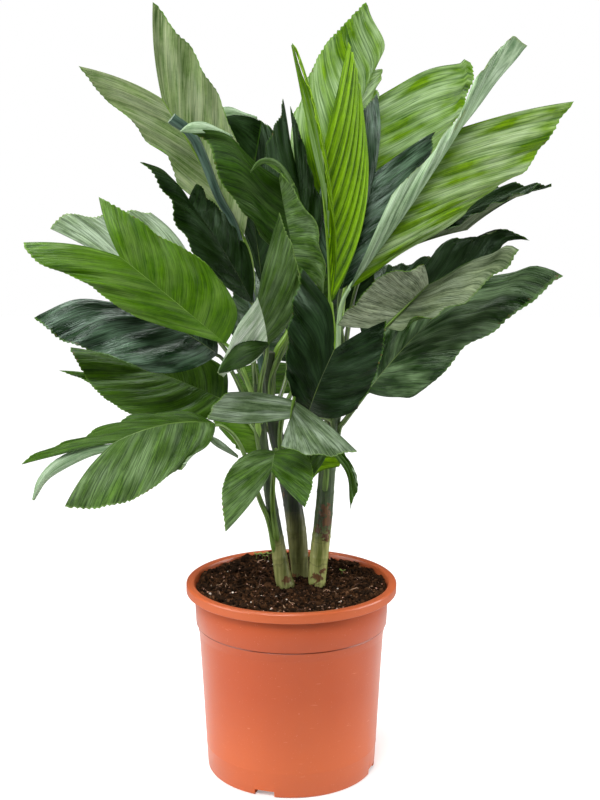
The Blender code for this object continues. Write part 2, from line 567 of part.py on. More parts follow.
def half_blade(base, fork, midrib, lobe, side):
    """Grid of one lobe: rows run from the base to the notch, columns from midrib to margin."""
    shape = dict(LOBE_SHAPE, **lobe)
    tip, shoulder = point(lobe["tip"]), point(lobe["shoulder"])
    normal = unit(np.cross(shoulder - fork, tip - base)) * side
    # Edges swell only as far as the corner between them lets them without folding the blade.
    at_shoulder = CORNER_SHARE * turning(shoulder - base, tip - shoulder, fork - shoulder)
    at_fork = CORNER_SHARE * turning(fork - base, tip - fork, shoulder - fork)
    swell, heel, notch = shape["swell"], shape["heel"], shape["notch"]
    if swell + heel > at_shoulder:
        ease = max(0.0, at_shoulder) / (swell + heel)
        swell, heel = swell * ease, heel * ease
    notch = min(notch, max(0.0, at_fork))
    length = np.linalg.norm(tip - shoulder)
    outward = away_from(unit(np.cross(tip - shoulder, normal)), fork - shoulder)
    margin = bowed(shoulder, tip, BLADE_ROWS, length * (outward * swell + normal * shape["arch"] * 0.6))
    margin = bent(margin, outward, shape["margin_bends"])
    downward = away_from(unit(np.cross(shoulder - base, normal)), fork - base)
    foot_length = np.linalg.norm(shoulder - base)
    foot = bowed(base, shoulder, BLADE_COLUMNS, foot_length * (downward * heel + normal * shape["arch"]))
    foot = bent(foot, downward, shape["foot_bends"])
    off_notch = away_from(unit(np.cross(tip - fork, normal)), shoulder - fork)
    notch_length = np.linalg.norm(tip - fork)
    edge = bowed(fork, tip, BLADE_COLUMNS, notch_length * (off_notch * notch + normal * shape["arch"]))
    edge = bent(edge, off_notch, shape["notch_bends"])
    s = np.linspace(0, 1, BLADE_ROWS + 1)[:, None, None]
    w = np.linspace(0, 1, BLADE_COLUMNS + 1)[None, :, None]
    corners = (1 - s) * (1 - w) * base + (1 - s) * w * shoulder + s * (1 - w) * fork + s * w * tip
    return (1 - w) * midrib[:, None] + w * margin[:, None] + (1 - s) * foot[None] + s * edge[None] - corners


def sheet_triangles(rows, columns):
    """Triangles of a sheet's grid, mirrored about its middle column."""
    index = np.arange((rows + 1) * (columns + 1)).reshape(rows + 1, columns + 1)
    triangles = []
    for i in range(rows):
        for j in range(columns):
            a, b, c, d = index[i, j], index[i, j + 1], index[i + 1, j + 1], index[i + 1, j]
            if j < columns // 2:
                triangles += [(a, b, d), (b, c, d)]
            else:
                triangles += [(a, b, c), (a, c, d)]
    return np.array(triangles)


def sheet_normals(grid):
    """Normals at the points of a sheet, from the triangles around each, weighted by their corners."""
    points = grid.reshape(-1, 3)
    triangles = sheet_triangles(grid.shape[0] - 1, grid.shape[1] - 1)
    normals = np.zeros_like(points)
    for corner in range(3):
        here, second, third = (points[triangles[:, (corner + k) % 3]] for k in range(3))
        one, other = second - here, third - here
        facing = np.cross(one, other)
        size = np.linalg.norm(facing, axis=1)
        angle = np.arctan2(size, (one * other).sum(axis=1))
        np.add.at(normals, triangles[:, corner], facing * (angle / np.maximum(size, 1e-12))[:, None])
    normals /= np.maximum(np.linalg.norm(normals, axis=1, keepdims=True), 1e-12)
    return normals.reshape(grid.shape)


def size_share(frond):
    """How large the rib, pleats and teeth of a frond are beside those of a full-sized one."""
    base = point(frond["base"])
    reach = max(np.linalg.norm(point(frond[half]["tip"]) - base) for half in ("left", "right"))
    return min(1.0, max(SMALLEST_SHARE, reach / FULL_SIZE))


def blade_grid(frond):
    """Middle surface of the whole blade, from the left margin over the midrib to the right."""
    base, fork = point(frond["base"]), point(frond["fork"])
    left_shoulder, right_shoulder = point(frond["left"]["shoulder"]), point(frond["right"]["shoulder"])
    normal = unit(np.cross(right_shoulder - left_shoulder, fork - base))
    midrib = bowed(base, fork, BLADE_ROWS, normal * frond["bow"] * np.linalg.norm(fork - base))
    left = half_blade(base, fork, midrib, frond["left"], -1)
    right = half_blade(base, fork, midrib, frond["right"], 1)
    grid = np.concatenate([left[:, :0:-1], right], axis=1)
    ridge = np.where(np.arange(BLADE_ROWS + 1) % 2, 1.0, -1.0)[:, None]
    from_rib = np.minimum(1, np.abs(np.arange(-BLADE_COLUMNS, BLADE_COLUMNS + 1)) / BLADE_COLUMNS * 2.2)[None]
    share = size_share(frond)
    grid = grid + sheet_normals(grid) * (share * PLEAT_DEPTH * ridge * from_rib)[..., None]
    tooth = np.where(np.arange(BLADE_ROWS + 1) % 2, -0.6, 0.7) * TOOTH_LENGTH * share
    tooth[0] = tooth[-1] = 0
    for edge, inner in ((0, 1), (-1, -2)):
        vein = grid[:, edge] - grid[:, inner]
        vein /= np.maximum(np.linalg.norm(vein, axis=1, keepdims=True), 1e-9)
        grid[:, edge] += vein * tooth[:, None]
    return grid


def blade_solid(grid, share):
    """Close the sheet with thickness and a rib below, both faces split into triangles alike."""
    rows, columns = grid.shape[0] - 1, grid.shape[1] - 1
    middle = columns // 2
    normals = sheet_normals(grid)
    top = grid + normals * BLADE_THICKNESS / 2
    bottom = grid - normals * BLADE_THICKNESS / 2
    rib = np.linspace(1, RIB_TIP_SHARE, rows + 1)[:, None] * RIB_DEPTH * share
    bottom[:, middle] = grid[:, middle] - normals[:, middle] * rib
    vertices = np.concatenate([top.reshape(-1, 3), bottom.reshape(-1, 3)])
    below = (rows + 1) * (columns + 1)
    index = np.arange(below).reshape(rows + 1, columns + 1)
    faces = []
    for p, q, r in sheet_triangles(rows, columns):
        faces.append((p, q, r))
        faces.append((p + below, r + below, q + below))
    edge = list(index[0]) + list(index[1:, -1]) + list(index[-1, -2::-1]) + list(index[-2:0:-1, 0])
    for k, p in enumerate(edge):
        q = edge[(k + 1) % len(edge)]
        faces.append((p, p + below, q + below))
        faces.append((p, q + below, q))
    return vertices, faces


def fat_cane_tool(route):
    """A cane grown by the clearance all round and at its top."""
    path, radii = route
    path = np.vstack([path, path[-1] + unit(path[-1] - path[-2]) * CLEARANCE])
    vertices, faces = tube(path, np.append(radii, radii[-1]) + CLEARANCE, CANE_SIDES)
    return mesh_object("seat tool", vertices, faces)


def make_frond(name, frond, route, parent):
    grid = blade_grid(frond)
    base = grid[0, BLADE_COLUMNS]
    along = unit(grid[1, BLADE_COLUMNS] - base)
    exit_point, upward = place_on_cane(route, frond["exit"] * MM)
    reach = np.linalg.norm(base - exit_point)
    aside = unit((base - exit_point) * (1, 1, 0))
    end = base + along * PETIOLE_SINK
    path = bezier(exit_point, exit_point + (upward * 0.85 + aside * 0.5) * reach * 0.38,
                  end - along * reach * 0.3, end, PETIOLE_STEPS)
    radii = np.linspace(PETIOLE_FOOT_RADIUS, PETIOLE_TOP_RADIUS, PETIOLE_STEPS + 1)
    blade = mesh_object(name, *blade_solid(grid, size_share(frond)), origin=exit_point)
    combine(blade, mesh_object("stalk tool", *tube(path, radii, PETIOLE_SIDES)), "UNION")
    combine(blade, fat_cane_tool(route), "DIFFERENCE")
    return finish_node(blade, frond["colour"], 0.4, parent)


def make_cut_stalk(name, stalk, route, parent):
    """A stalk whose blade was cut off, hollow at the cut."""
    exit_point, upward = place_on_cane(route, stalk["exit"] * MM)
    foot_radius = stalk["route"][0][3]
    knots = [(*(exit_point / MM), foot_radius)] + list(stalk["route"])
    smooth = smooth_path(knots, 3 * (len(knots) - 1)) * MM
    path, radii = smooth[:, :3], smooth[:, 3]
    body = mesh_object(name, *tube(path, radii, stalk["sides"]), origin=exit_point)
    axis = unit(path[-1] - path[-2])
    bore = [path[-1] - axis * CUT_END_DEPTH, path[-1] + axis * 2 * MM]
    bore_radius = radii[-1] * CUT_END_WALL
    drill = mesh_object("bore tool", *tube(bore, (bore_radius, bore_radius), stalk["sides"]))
    combine(body, drill, "DIFFERENCE")
    combine(body, fat_cane_tool(route), "DIFFERENCE")
    return finish_node(body, STALK_GREEN, 0.5, parent)


def main():
    clear_scene()
    routes = cane_routes()
    pot = make_pot()
    soil = make_soil(pot, routes)
    canes = {side: make_cane(side, routes[side], soil) for side in CANES}
    for name, frond in FRONDS.items():
        make_frond(name, frond, routes[frond["cane"]], canes[frond["cane"]])
    for name, stalk in CUT_STALKS.items():
        make_cut_stalk(name, stalk, routes[stalk["cane"]], canes[stalk["cane"]])


main()
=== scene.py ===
"""Looks of the potted metallic palm: finer fronds, canes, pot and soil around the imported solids.

Lengths are in metres; the points of the plant are in millimetres, scaled by MM.
X runs to the right, Y away from the camera and Z up. The pot stands on Z = 0 about the origin.
"""

import json
import math
import random

import bpy
import numpy as np
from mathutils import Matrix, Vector, noise


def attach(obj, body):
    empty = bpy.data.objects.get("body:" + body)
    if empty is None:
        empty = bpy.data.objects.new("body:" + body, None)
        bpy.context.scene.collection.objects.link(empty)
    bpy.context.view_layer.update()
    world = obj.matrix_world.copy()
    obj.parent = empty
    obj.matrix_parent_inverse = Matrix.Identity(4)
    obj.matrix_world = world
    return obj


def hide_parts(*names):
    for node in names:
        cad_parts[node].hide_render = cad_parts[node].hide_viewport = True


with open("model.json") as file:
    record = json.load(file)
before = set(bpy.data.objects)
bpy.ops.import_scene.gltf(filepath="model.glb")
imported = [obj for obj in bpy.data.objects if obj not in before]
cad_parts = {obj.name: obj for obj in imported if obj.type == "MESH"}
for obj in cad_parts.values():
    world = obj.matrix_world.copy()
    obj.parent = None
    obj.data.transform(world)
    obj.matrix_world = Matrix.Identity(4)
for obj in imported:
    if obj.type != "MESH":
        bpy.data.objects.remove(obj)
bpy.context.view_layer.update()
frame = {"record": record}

MM = 0.001
TURN = 2 * math.pi
ANY_ANGLE = (0, 6.28)

# Names ending in SHARP are angles in degrees from which an edge between faces stays sharp.

# Pot, as its solid.
POT_HEIGHT = 192.5 * MM
RIM_RADIUS = 105 * MM
LIP_HEIGHT = 9.5 * MM
LIP_SKIRT = 2.2 * MM
LIP_BEND = 2.2 * MM
MOUTH_RADIUS = 97 * MM
FLARE = 1.8 * MM
WALL = 2 * MM
BASE_RADIUS = 85 * MM
BAND_FOOT_RADIUS = 92.6 * MM
BAND_RADIUS = 95.6 * MM
NECK_RADIUS = 96.8 * MM
BAND_BOTTOM = 143 * MM
BAND_TOP = 151 * MM
BAND_LEDGE = 0.8 * MM
FLOOR_RECESS = 4.5 * MM
FLOOR_TOP = 7 * MM
FOOT_RING_WIDTH = 10 * MM
CENTRE_PAD_RADIUS = 15 * MM
NOTCH_WIDTH = 20 * MM
NOTCH_HEIGHT = 6.4 * MM
NOTCH_COUNT = 4
FIRST_NOTCH_ANGLE = math.radians(-108)
DRAIN_COUNT = 8
DRAIN_RADIUS = 3.5 * MM
DRAIN_CIRCLE = 52 * MM
MOULD_LINE_HEIGHT = 25 * MM
POT_SIDES = 192
POT_SHARP = 40

# Soil. HEAP_PLACE and HEAP_REACH are where it is heaped against the back wall, and how widely.
SOIL_TOP = 183 * MM
SOIL_RADIUS = NECK_RADIUS - WALL
SOIL_DEPTH = 14 * MM
SOIL_DISH = 5 * MM
SOIL_RELIEF = 4.2 * MM
SOIL_CLODS = 2.4 * MM
BACK_HEAP = 3.5 * MM
HEAP_PLACE = (-30 * MM, 88 * MM)
HEAP_REACH = (30 * MM, 22 * MM)
SOIL_RINGS = 80
SOIL_SIDES = 260
SOIL_SHARP = 80
LUMP_SHARP = 30
FIBRE_SHARP = 40
CANE_CLEARANCE = 9.5 * MM
CRUMB_COUNT = 3400
CRUMB_SIZES = (0.7 * MM, 2.0 * MM)
CLOD_SIZES = (2.0 * MM, 4.2 * MM)
PERLITE_COUNT = 220
PERLITE_SIZES = (0.6 * MM, 1.7 * MM)
FIBRE_COUNT = 90
FIBRE_STEPS = 6
SPROUTS = ((-28, 76), (-31, 79), (-24, 79), (-37, 74), (52, 30))
SPROUT_LEAVES = 3
SPROUT_EDGE = 10

# Blades.
COLUMNS = 18
ROWS_PER_VEIN = 9
TEETH_PER_VEIN = 3
FINE_VEINS = 5
FULL_VEINS = 9
FEWEST_VEINS = 4
LEFT_VEINS_START = 40
LEAF_THICKNESS = 0.5 * MM
TOOTH_LENGTH = 2.6 * MM
TOOTH_SHARES = (0.45, 1.35)
PLEAT_DEPTH = 1.5 * MM
WAVE_DEPTH = 1.6 * MM
WAVE_COUNT = 4
WAVES_ALONG = (1.2, 4.2)
WAVES_ACROSS = (-0.9, 0.9)
RIPPLE_DEPTH = 1.4 * MM
RIPPLE_COUNT = 2
RIPPLES_ALONG = (2.0, 4.5)
FULL_SIZE = 170 * MM
SMALLEST_SHARE = 0.45
CORNER_SHARE = 0.2
EDGE_START = 0.12
EDGE_END = 0.97
RIB_FOOT_RADIUS = 1.7 * MM
RIB_TIP_RADIUS = 0.45 * MM
RIB_PROUD = 0.35 * MM
RIB_EVERY = 3
STALK_SIDES = 14
STALK_STEPS = 26
STALK_START_RADIUS = 1.2 * MM
STALK_FOOT_RADIUS = 3.6 * MM
SHEATH_DEPTH = 34 * MM
LOOK_AHEAD = 8 * MM
STALK_CLEARS = 16 * MM
PLANT_SHARP = 60

# Canes.
CANE_SIDES = 36
CANE_ROWS = 220
CANE_STEPS = 18
CANE_ROUGHNESS = 0.25 * MM
FIRST_RING = 120 * MM
LAST_RING = 450 * MM
RING_SPACING = 24 * MM
RING_SWELL = 0.35 * MM
RING_WIDTH = 0.07
PALE_FOOT_FADE = 22 * MM
TORN_BELOW = (300 * MM, 270 * MM)
# Routes of the canes in millimetres, from the buried foot up, each with the radius there.
CANES = {
    "left": (
        (-1, 12, 138, 8.0), (-4, 11, 174, 9.6), (-9, 10, 196, 8.6), (-15, 8, 236, 6.6), (-21, 5, 277, 5.6),
        (-25, 4, 309, 5.4), (-29, 2, 340, 5.2), (-31, 0, 370, 5.0), (-32, -1, 391, 4.4)),
    "middle": (
        (12, 42, 138, 7.5), (10, 38, 175, 8.8), (7, 34, 217, 9.8), (2, 31, 259, 9.6), (-7, 28, 302, 8.0),
        (-16, 26, 340, 6.6), (-22, 22, 371, 6.2), (-23, 20, 396, 5.8), (-21, 18, 420, 5.0)),
    "right": (
        (23, 12, 138, 7.5), (25, 11, 174, 8.3), (28, 11, 214, 9.3), (32, 11, 252, 8.9), (36, 12, 306, 8.2),
        (40, 12, 348, 7.8), (43, 10, 388, 7.4), (44, 8, 428, 6.4)),
}


def lobe(tip, shoulder, swell=0.06, heel=0.12, notch=0.04, arch=0.05,
         margin_bends=(), notch_bends=(), foot_bends=()):
    """One lobe of a frond, from its tip and the shoulder where its toothed margin starts.

    swell, heel and notch are how far the margin, the edge at the base and the edge of the notch
    curve outwards, and arch how far they rise, as a share of their length. A bend pushes a stretch
    of an edge outwards: how far along it lies, how wide it is, and by how many millimetres.
    """
    return dict(tip=tip, shoulder=shoulder, swell=swell, heel=heel, notch=notch, arch=arch,
                margin_bends=margin_bends, notch_bends=notch_bends, foot_bends=foot_bends)


def frond(cane, leaves_at, base, fork, bow, left, right):
    """A frond: its cane, the height at which its stalk leaves it, where the blade starts, the foot
    of the notch between its two lobes, how far the midrib bows, and the lobes."""
    return dict(cane=cane, leaves_at=leaves_at, base=base, fork=fork, bow=bow, left=left, right=right)


# Fronds, with points (x, y, z) in millimetres.
FRONDS = {
    "young_centre": frond("right", 425, (38, -15, 472), (25, -35, 601), 0.02,
        lobe((1, -58, 707), (35, -46, 562), swell=0.1, margin_bends=((0.65, 0.35, 5),)),
        lobe((53, -20, 712), (66, 5, 650), swell=0.02)),
    "upper_right": frond("right", 407, (55, -30, 487), (154, -45, 634), 0.03,
        lobe((208, -62, 705), (90, -58, 574), swell=0.05, margin_bends=((0.82, 0.25, 28), (0.97, 0.06, 8)),
             notch_bends=((0.55, 0.35, -8),)),
        lobe((257, -35, 658), (153, -20, 552), swell=0.09, margin_bends=((0.55, 0.28, 9),),
             foot_bends=((0.5, 0.3, -6),))),
    "centre_right": frond("right", 395, (48, 8, 482), (81, 24, 594), 0.03,
        lobe((83, 34, 670), (32, 12, 590), foot_bends=((0.45, 0.35, 14),)),
        lobe((141, 39, 633), (114, 34, 556))),
    "back_right": frond("right", 419, (61, 66, 527), (86, 90, 668), 0.05,
        lobe((65, 105, 716), (39, 95, 616)),
        lobe((185, 120, 705), (144, 105, 601), swell=0.02, margin_bends=((0.72, 0.3, 8),),
             notch_bends=((0.55, 0.3, 4), (0.95, 0.04, 4)))),
    "top": frond("middle", 410, (30, 38, 507), (64, 48, 687), 0.04,
        lobe((72, 42, 755), (3, 40, 646), swell=0.04, margin_bends=((0.5, 0.35, 8),),
             notch_bends=((0.4, 0.36, 22),)),
        lobe((89, 66, 694), (76, 64, 645))),
    "centre_dark": frond("middle", 397, (20, -2, 497), (6, 0, 594), 0.03,
        lobe((-8, -2, 662), (-26, 8, 596), margin_bends=((0.75, 0.2, -4),)),
        lobe((-1, -4, 655), (27, -2, 563))),
    "tucked_left": frond("middle", 371, (-28, 55, 475), (-46, 75, 606), 0.03,
        lobe((-78, 60, 645), (-52, 70, 549), notch=-0.04),
        lobe((-52, 90, 654), (-11, 85, 630), notch=-0.04)),
    "folded_left": frond("middle", 383, (8, -48, 500), (-11, -58, 589), 0.04,
        lobe((-92, -50, 631), (-22, -34, 532), swell=0.05, margin_bends=((0.8, 0.15, -9),),
             notch_bends=((0.65, 0.3, 13),)),
        lobe((-26, -88, 607), (28, -42, 480), swell=0.1, arch=-0.2, margin_bends=((0.4, 0.25, 4),))),
    "upper_left": frond("middle", 363, (-47, 32, 531), (-123, 15, 663), 0.05,
        lobe((-127, -15, 747), (-47, 25, 610), swell=0.07, margin_bends=((0.6, 0.3, 3),)),
        lobe((-199, 0, 692), (-108, 30, 581), swell=-0.02, heel=0.02,
             margin_bends=((0.2, 0.15, -5), (0.8, 0.15, 4)))),
    "left_dark": frond("left", 388, (-38, 5, 470), (-97, -12, 568), 0.04,
        lobe((-139, -30, 604), (-71, -35, 497), swell=0.08, margin_bends=((0.25, 0.2, 6), (0.75, 0.15, -9)),
             notch_bends=((0.6, 0.3, 7),)),
        lobe((-91, 6, 583), (-45, 4, 525))),
    "left_bright": frond("left", 362, (-62, -35, 435), (-156, -65, 519), 0.05,
        lobe((-240, -80, 533), (-137, -74, 463), swell=0.04, heel=0.02,
             margin_bends=((0.45, 0.15, -4), (0.85, 0.15, 7))),
        lobe((-175, -55, 572), (-64, -50, 494), swell=0.05, margin_bends=((0.25, 0.2, 3), (0.5, 0.2, -4)),
             foot_bends=((0.5, 0.35, 5),))),
    "left_glossy": frond("left", 343, (-71, -15, 422), (-154, -25, 471), 0.06,
        lobe((-240, -45, 461), (-131, -55, 412), swell=0.05, margin_bends=((0.72, 0.2, 6),),
             notch_bends=((0.55, 0.3, 7),)),
        lobe((-183, -5, 483), (-84, 5, 455))),
    "left_under": frond("left", 332, (-65, 25, 369), (-155, 25, 406), 0.05,
        lobe((-217, 15, 425), (-139, 0, 354), swell=0.04, margin_bends=((0.5, 0.4, 12),),
             foot_bends=((0.4, 0.3, 5),)),
        lobe((-212, 45, 440), (-102, 45, 420), foot_bends=((0.4, 0.3, 10),))),
    "low_left": frond("left", 240, (-72, -45, 360), (-162, -95, 352), 0.1,
        lobe((-201, -130, 302), (-92, -95, 338), swell=0.04,
             margin_bends=((0.4, 0.25, 12), (0.72, 0.22, 12))),
        lobe((-246, -95, 333), (-127, -35, 370), margin_bends=((0.45, 0.3, -6),),
             notch_bends=((0.6, 0.3, 2),))),
    "rear_low_left": frond("middle", 329, (-94, 70, 360), (-158, 90, 372), 0.06,
        lobe((-243, 95, 389), (-147, 80, 358)),
        lobe((-213, 115, 414), (-123, 110, 404))),
    "rear_left": frond("middle", 345, (-93, 70, 443), (-171, 90, 493), 0.05,
        lobe((-242, 55, 526), (-164, 60, 474)),
        lobe((-254, 125, 536), (-148, 130, 553), margin_bends=((0.45, 0.2, -3), (0.82, 0.13, 9)))),
    "front_curled": frond("left", 376, (-22, -65, 438), (-30, -100, 485), 0.05,
        lobe((-64, -134, 423), (-58, -108, 420), swell=0.04, heel=0.04, margin_bends=((0.5, 0.3, 2),),
             notch_bends=((0.5, 0.35, 11),), foot_bends=((0.35, 0.3, 4),)),
        lobe((-11, -110, 560), (8, -85, 489), swell=0.05)),
    "front_dark": frond("right", 342, (16, -70, 376), (38, -110, 440), 0.08,
        lobe((10, -100, 511), (-3, -90, 407), swell=0.08, notch_bends=((0.5, 0.35, 10),)),
        lobe((83, -120, 467), (58, -110, 387), swell=0.1)),
    "turned_right": frond("right", 381, (88, -35, 450), (126, -55, 493), 0.04,
        lobe((208, -70, 523), (111, -62, 459), swell=0.06, margin_bends=((0.35, 0.2, 5),),
             notch_bends=((0.55, 0.3, 8), (0.88, 0.12, 6))),
        lobe((119, -80, 511), (43, -40, 454), swell=0.1, margin_bends=((0.7, 0.25, 8),))),
    "low_right": frond("right", 332, (74, 0, 383), (143, -5, 462), 0.04,
        lobe((183, 15, 508), (92, 22, 439)),
        lobe((258, -15, 497), (122, -30, 388), swell=0.03, heel=0.1,
             margin_bends=((0.35, 0.12, -10), (0.62, 0.12, -4), (0.9, 0.1, -2)),
             notch_bends=((0.45, 0.3, 13), (0.82, 0.15, 11)), foot_bends=((0.85, 0.15, 3),))),
    "shaded_right": frond("right", 363, (80, 35, 431), (149, 45, 462), 0.05,
        lobe((236, 50, 527), (121, 45, 503), margin_bends=((0.45, 0.2, 11), (0.82, 0.13, 13)),
             notch_bends=((0.5, 0.3, -12), (0.82, 0.14, -12))),
        lobe((211, 60, 475), (125, 50, 436))),
    "far_right": frond("right", 389, (89, 60, 509), (178, 71, 537), 0.05,
        lobe((265, 95, 583), (167, 95, 578), notch=-0.03, margin_bends=((0.6, 0.35, -6),)),
        lobe((247, 50, 581), (157, 48, 538), notch=-0.03)),
    "front_draped": frond("middle", 316, (2, -86, 390), (-1, -110, 378), 0.05,
        lobe((-74, -135, 382), (-56, -122, 404), swell=0.1, heel=0.08),
        lobe((-9, -128, 357), (59, -112, 349), swell=0.1, heel=0.08)),
    "front_low": frond("left", 252, (-15, -75, 340), (-18, -100, 327), 0.1,
        lobe((12, -125, 300), (16, -95, 340), swell=0.12),
        lobe((-58, -140, 282), (-47, -100, 339), swell=0.12, margin_bends=((0.4, 0.35, 4),))),
    "small_lime": frond("left", 304, (-30, 26, 317), (-45, 30, 341), 0.05,
        lobe((-68, 32, 345), (-54, 28, 320)),
        lobe((-51, 32, 361), (-26, 26, 341), swell=0.1)),
    "small_hanging": frond("right", 301, (29, -45, 352), (36, -62, 339), 0.1,
        lobe((55, -72, 284), (57, -60, 321), margin_bends=((0.45, 0.3, 6),),
             notch_bends=((0.5, 0.35, -10),)),
        lobe((19, -88, 318), (12, -62, 337))),
    "rear_high": frond("right", 401, (24, 88, 452), (28, 135, 560), 0.08,
        lobe((7, 180, 628), (-10, 130, 520)),
        lobe((64, 185, 617), (76, 135, 508))),
    "rear_right": frond("right", 347, (74, 85, 425), (118, 135, 462), 0.1,
        lobe((142, 195, 492), (80, 140, 486)),
        lobe((185, 175, 466), (116, 128, 432))),
    "rear_low_right": frond("right", 322, (63, 80, 373), (91, 130, 389), 0.1,
        lobe((116, 190, 404), (63, 135, 403)),
        lobe((148, 175, 383), (101, 125, 363))),
    "rear_middle": frond("middle", 340, (-4, 85, 400), (-9, 140, 462), 0.1,
        lobe((-52, 195, 492), (-68, 138, 428)),
        lobe((35, 200, 490), (56, 138, 428))),
    "rear_drooping": frond("middle", 308, (9, 95, 366), (9, 140, 388), 0.12,
        lobe((-62, 190, 376), (-50, 138, 354), heel=0.05),
        lobe((52, 192, 379), (42, 138, 363))),
}

# The leaf stalk whose blade was cut off: where it leaves its cane, then its route and radius.
CUT_STALK = dict(
    cane="middle", leaves_at=350,
    route=((-31, 18, 415, 3.6), (-40, 15, 480, 3.8), (-54, 13, 540, 4.0), (-70, 9, 572, 4.2),
           (-91, -2, 625, 4.8), (-112, -8, 644, 5.4)))
CUT_STEPS = 60
CUT_SIDES = 24
CUT_END_PROUD = 0.2 * MM
CUT_END_DEPTH = 9 * MM
CUT_BORE_SHARE = 0.62
BORE_TAPER = (1.0, 0.95, 0.7)

# Torn and curled ends that stand off a frond: the points of their two long edges in millimetres,
# how far the sheet between them bulges, its tone, and the frond it stands off.
CURLED_ENDS = {
    "low_left": (
        ((-163, -93, 351), (-191, -94, 348), (-216, -96, 336), (-231, -97, 319), (-237, -95, 300)),
        ((-163, -93, 345), (-184, -94, 339), (-207, -96, 328), (-223, -97, 317), (-235, -95, 299)),
        2.0, "silver", "low_left"),
    "folded_left": (
        ((-100, -54, 631), (-91, -56, 638), (-79, -57, 639), (-67, -56, 634), (-53, -53, 627)),
        ((-99, -54, 630), (-89, -56, 629), (-76, -57, 629), (-64, -56, 628), (-53, -53, 625)),
        1.5, "silver", "folded_left"),
    "tucked_left": (
        ((-78, 48, 647), (-71, 48, 655), (-60, 50, 657), (-47, 54, 652), (-34, 58, 648)),
        ((-77, 48, 646), (-69, 48, 645), (-58, 50, 647), (-46, 54, 647), (-34, 58, 644)),
        1.5, "silver", "tucked_left"),
    "folded_left_rim": (
        ((-35, -90, 596), (-31, -91, 603), (-23, -92, 607), (-13, -91, 605), (-4, -88, 596), (3, -86, 584)),
        ((-36, -90, 594), (-28, -91, 600), (-22, -92, 602), (-14, -91, 600), (-7, -88, 594), (0, -86, 582)),
        1.0, "soft", "folded_left"),
    "front_curled": (
        ((-63, -138, 425), (-58, -136, 435), (-48, -124, 446), (-35, -110, 448), (-21, -90, 444)),
        ((-63, -138, 423), (-52, -136, 425), (-41, -124, 427), (-31, -110, 432), (-21, -90, 440)),
        1.5, "low", "front_curled"),
    "front_lime": (
        ((17, -30, 326), (32, -31, 326), (49, -32, 325)),
        ((20, -34, 304), (29, -34, 312), (46, -33, 316)),
        2.0, "young", "small_lime"),
    "young_fold": (
        ((1, -60, 707), (9, -56, 682), (19, -52, 658), (27, -46, 632), (34, -40, 601), (38, -34, 569),
         (38, -27, 534)),
        ((0, -60, 705), (5, -56, 681), (10, -52, 656), (16, -46, 630), (23, -40, 599), (31, -34, 567),
         (35, -27, 534)),
        1.0, "bright", "young_centre"),
    "tucked_left_fold": (
        ((-76, 47, 646), (-60, 49, 649), (-43, 52, 648), (-29, 54, 643)),
        ((-71, 47, 642), (-59, 49, 631), (-50, 52, 616), (-37, 54, 598)),
        2.0, "dark", "tucked_left"),
    "rear_right_fold": (
        ((45, 62, 470), (51, 64, 489), (63, 68, 502), (80, 72, 508)),
        ((48, 62, 444), (60, 64, 448), (72, 68, 458), (86, 72, 476)),
        3.0, "dark", "rear_right"),
    "small_lime_fold": (
        ((-78, 20, 350), (-63, 22, 354), (-45, 24, 357), (-28, 26, 350)),
        ((-72, 20, 343), (-60, 22, 329), (-48, 24, 320), (-35, 26, 318)),
        3.0, "leaf", "small_lime"),
    "small_lime_rim": (
        ((-84, 8, 339), (-71, 10, 333), (-53, 12, 317)),
        ((-83, 8, 335), (-74, 10, 326), (-53, 12, 314)),
        1.0, "mist", "small_lime"),
}
CURL_ROWS = 60
CURL_COLUMNS = 8
CURL_VEINS = 2
CURL_TOOTH_ROWS = 4
CURL_TOOTH_SHARES = (0.2, 0.5)


def linear(red, green, blue):
    """Linear colour of a display colour given as 0 to 255."""
    shares = (red / 255, green / 255, blue / 255)
    return tuple(c / 12.92 if c <= 0.04045 else ((c + 0.055) / 1.055) ** 2.4 for c in shares)


def tone(deep, light, line, edge, silver, tint, rib, rough, gloss, sheen, crease):
    """Tone of a leaf. deep and light are the two greens between which ribs and streaks vary, line
    is the colour in the grooves over the main veins, edge that of the thin margin and silver that
    of the patches of painted sheen, which stand in for reflections of the lights, all as display
    colours; sheen is how strongly that painted sheen shows. rib and crease are how strongly the
    crests and the fine creases stand out, gloss is the level of reflection and tint its linear colour."""
    return dict(deep=linear(*deep), light=linear(*light), line=linear(*line), edge=linear(*edge),
                silver=linear(*silver), tint=tint, rib=rib, rough=rough, gloss=gloss, sheen=sheen,
                crease=crease)
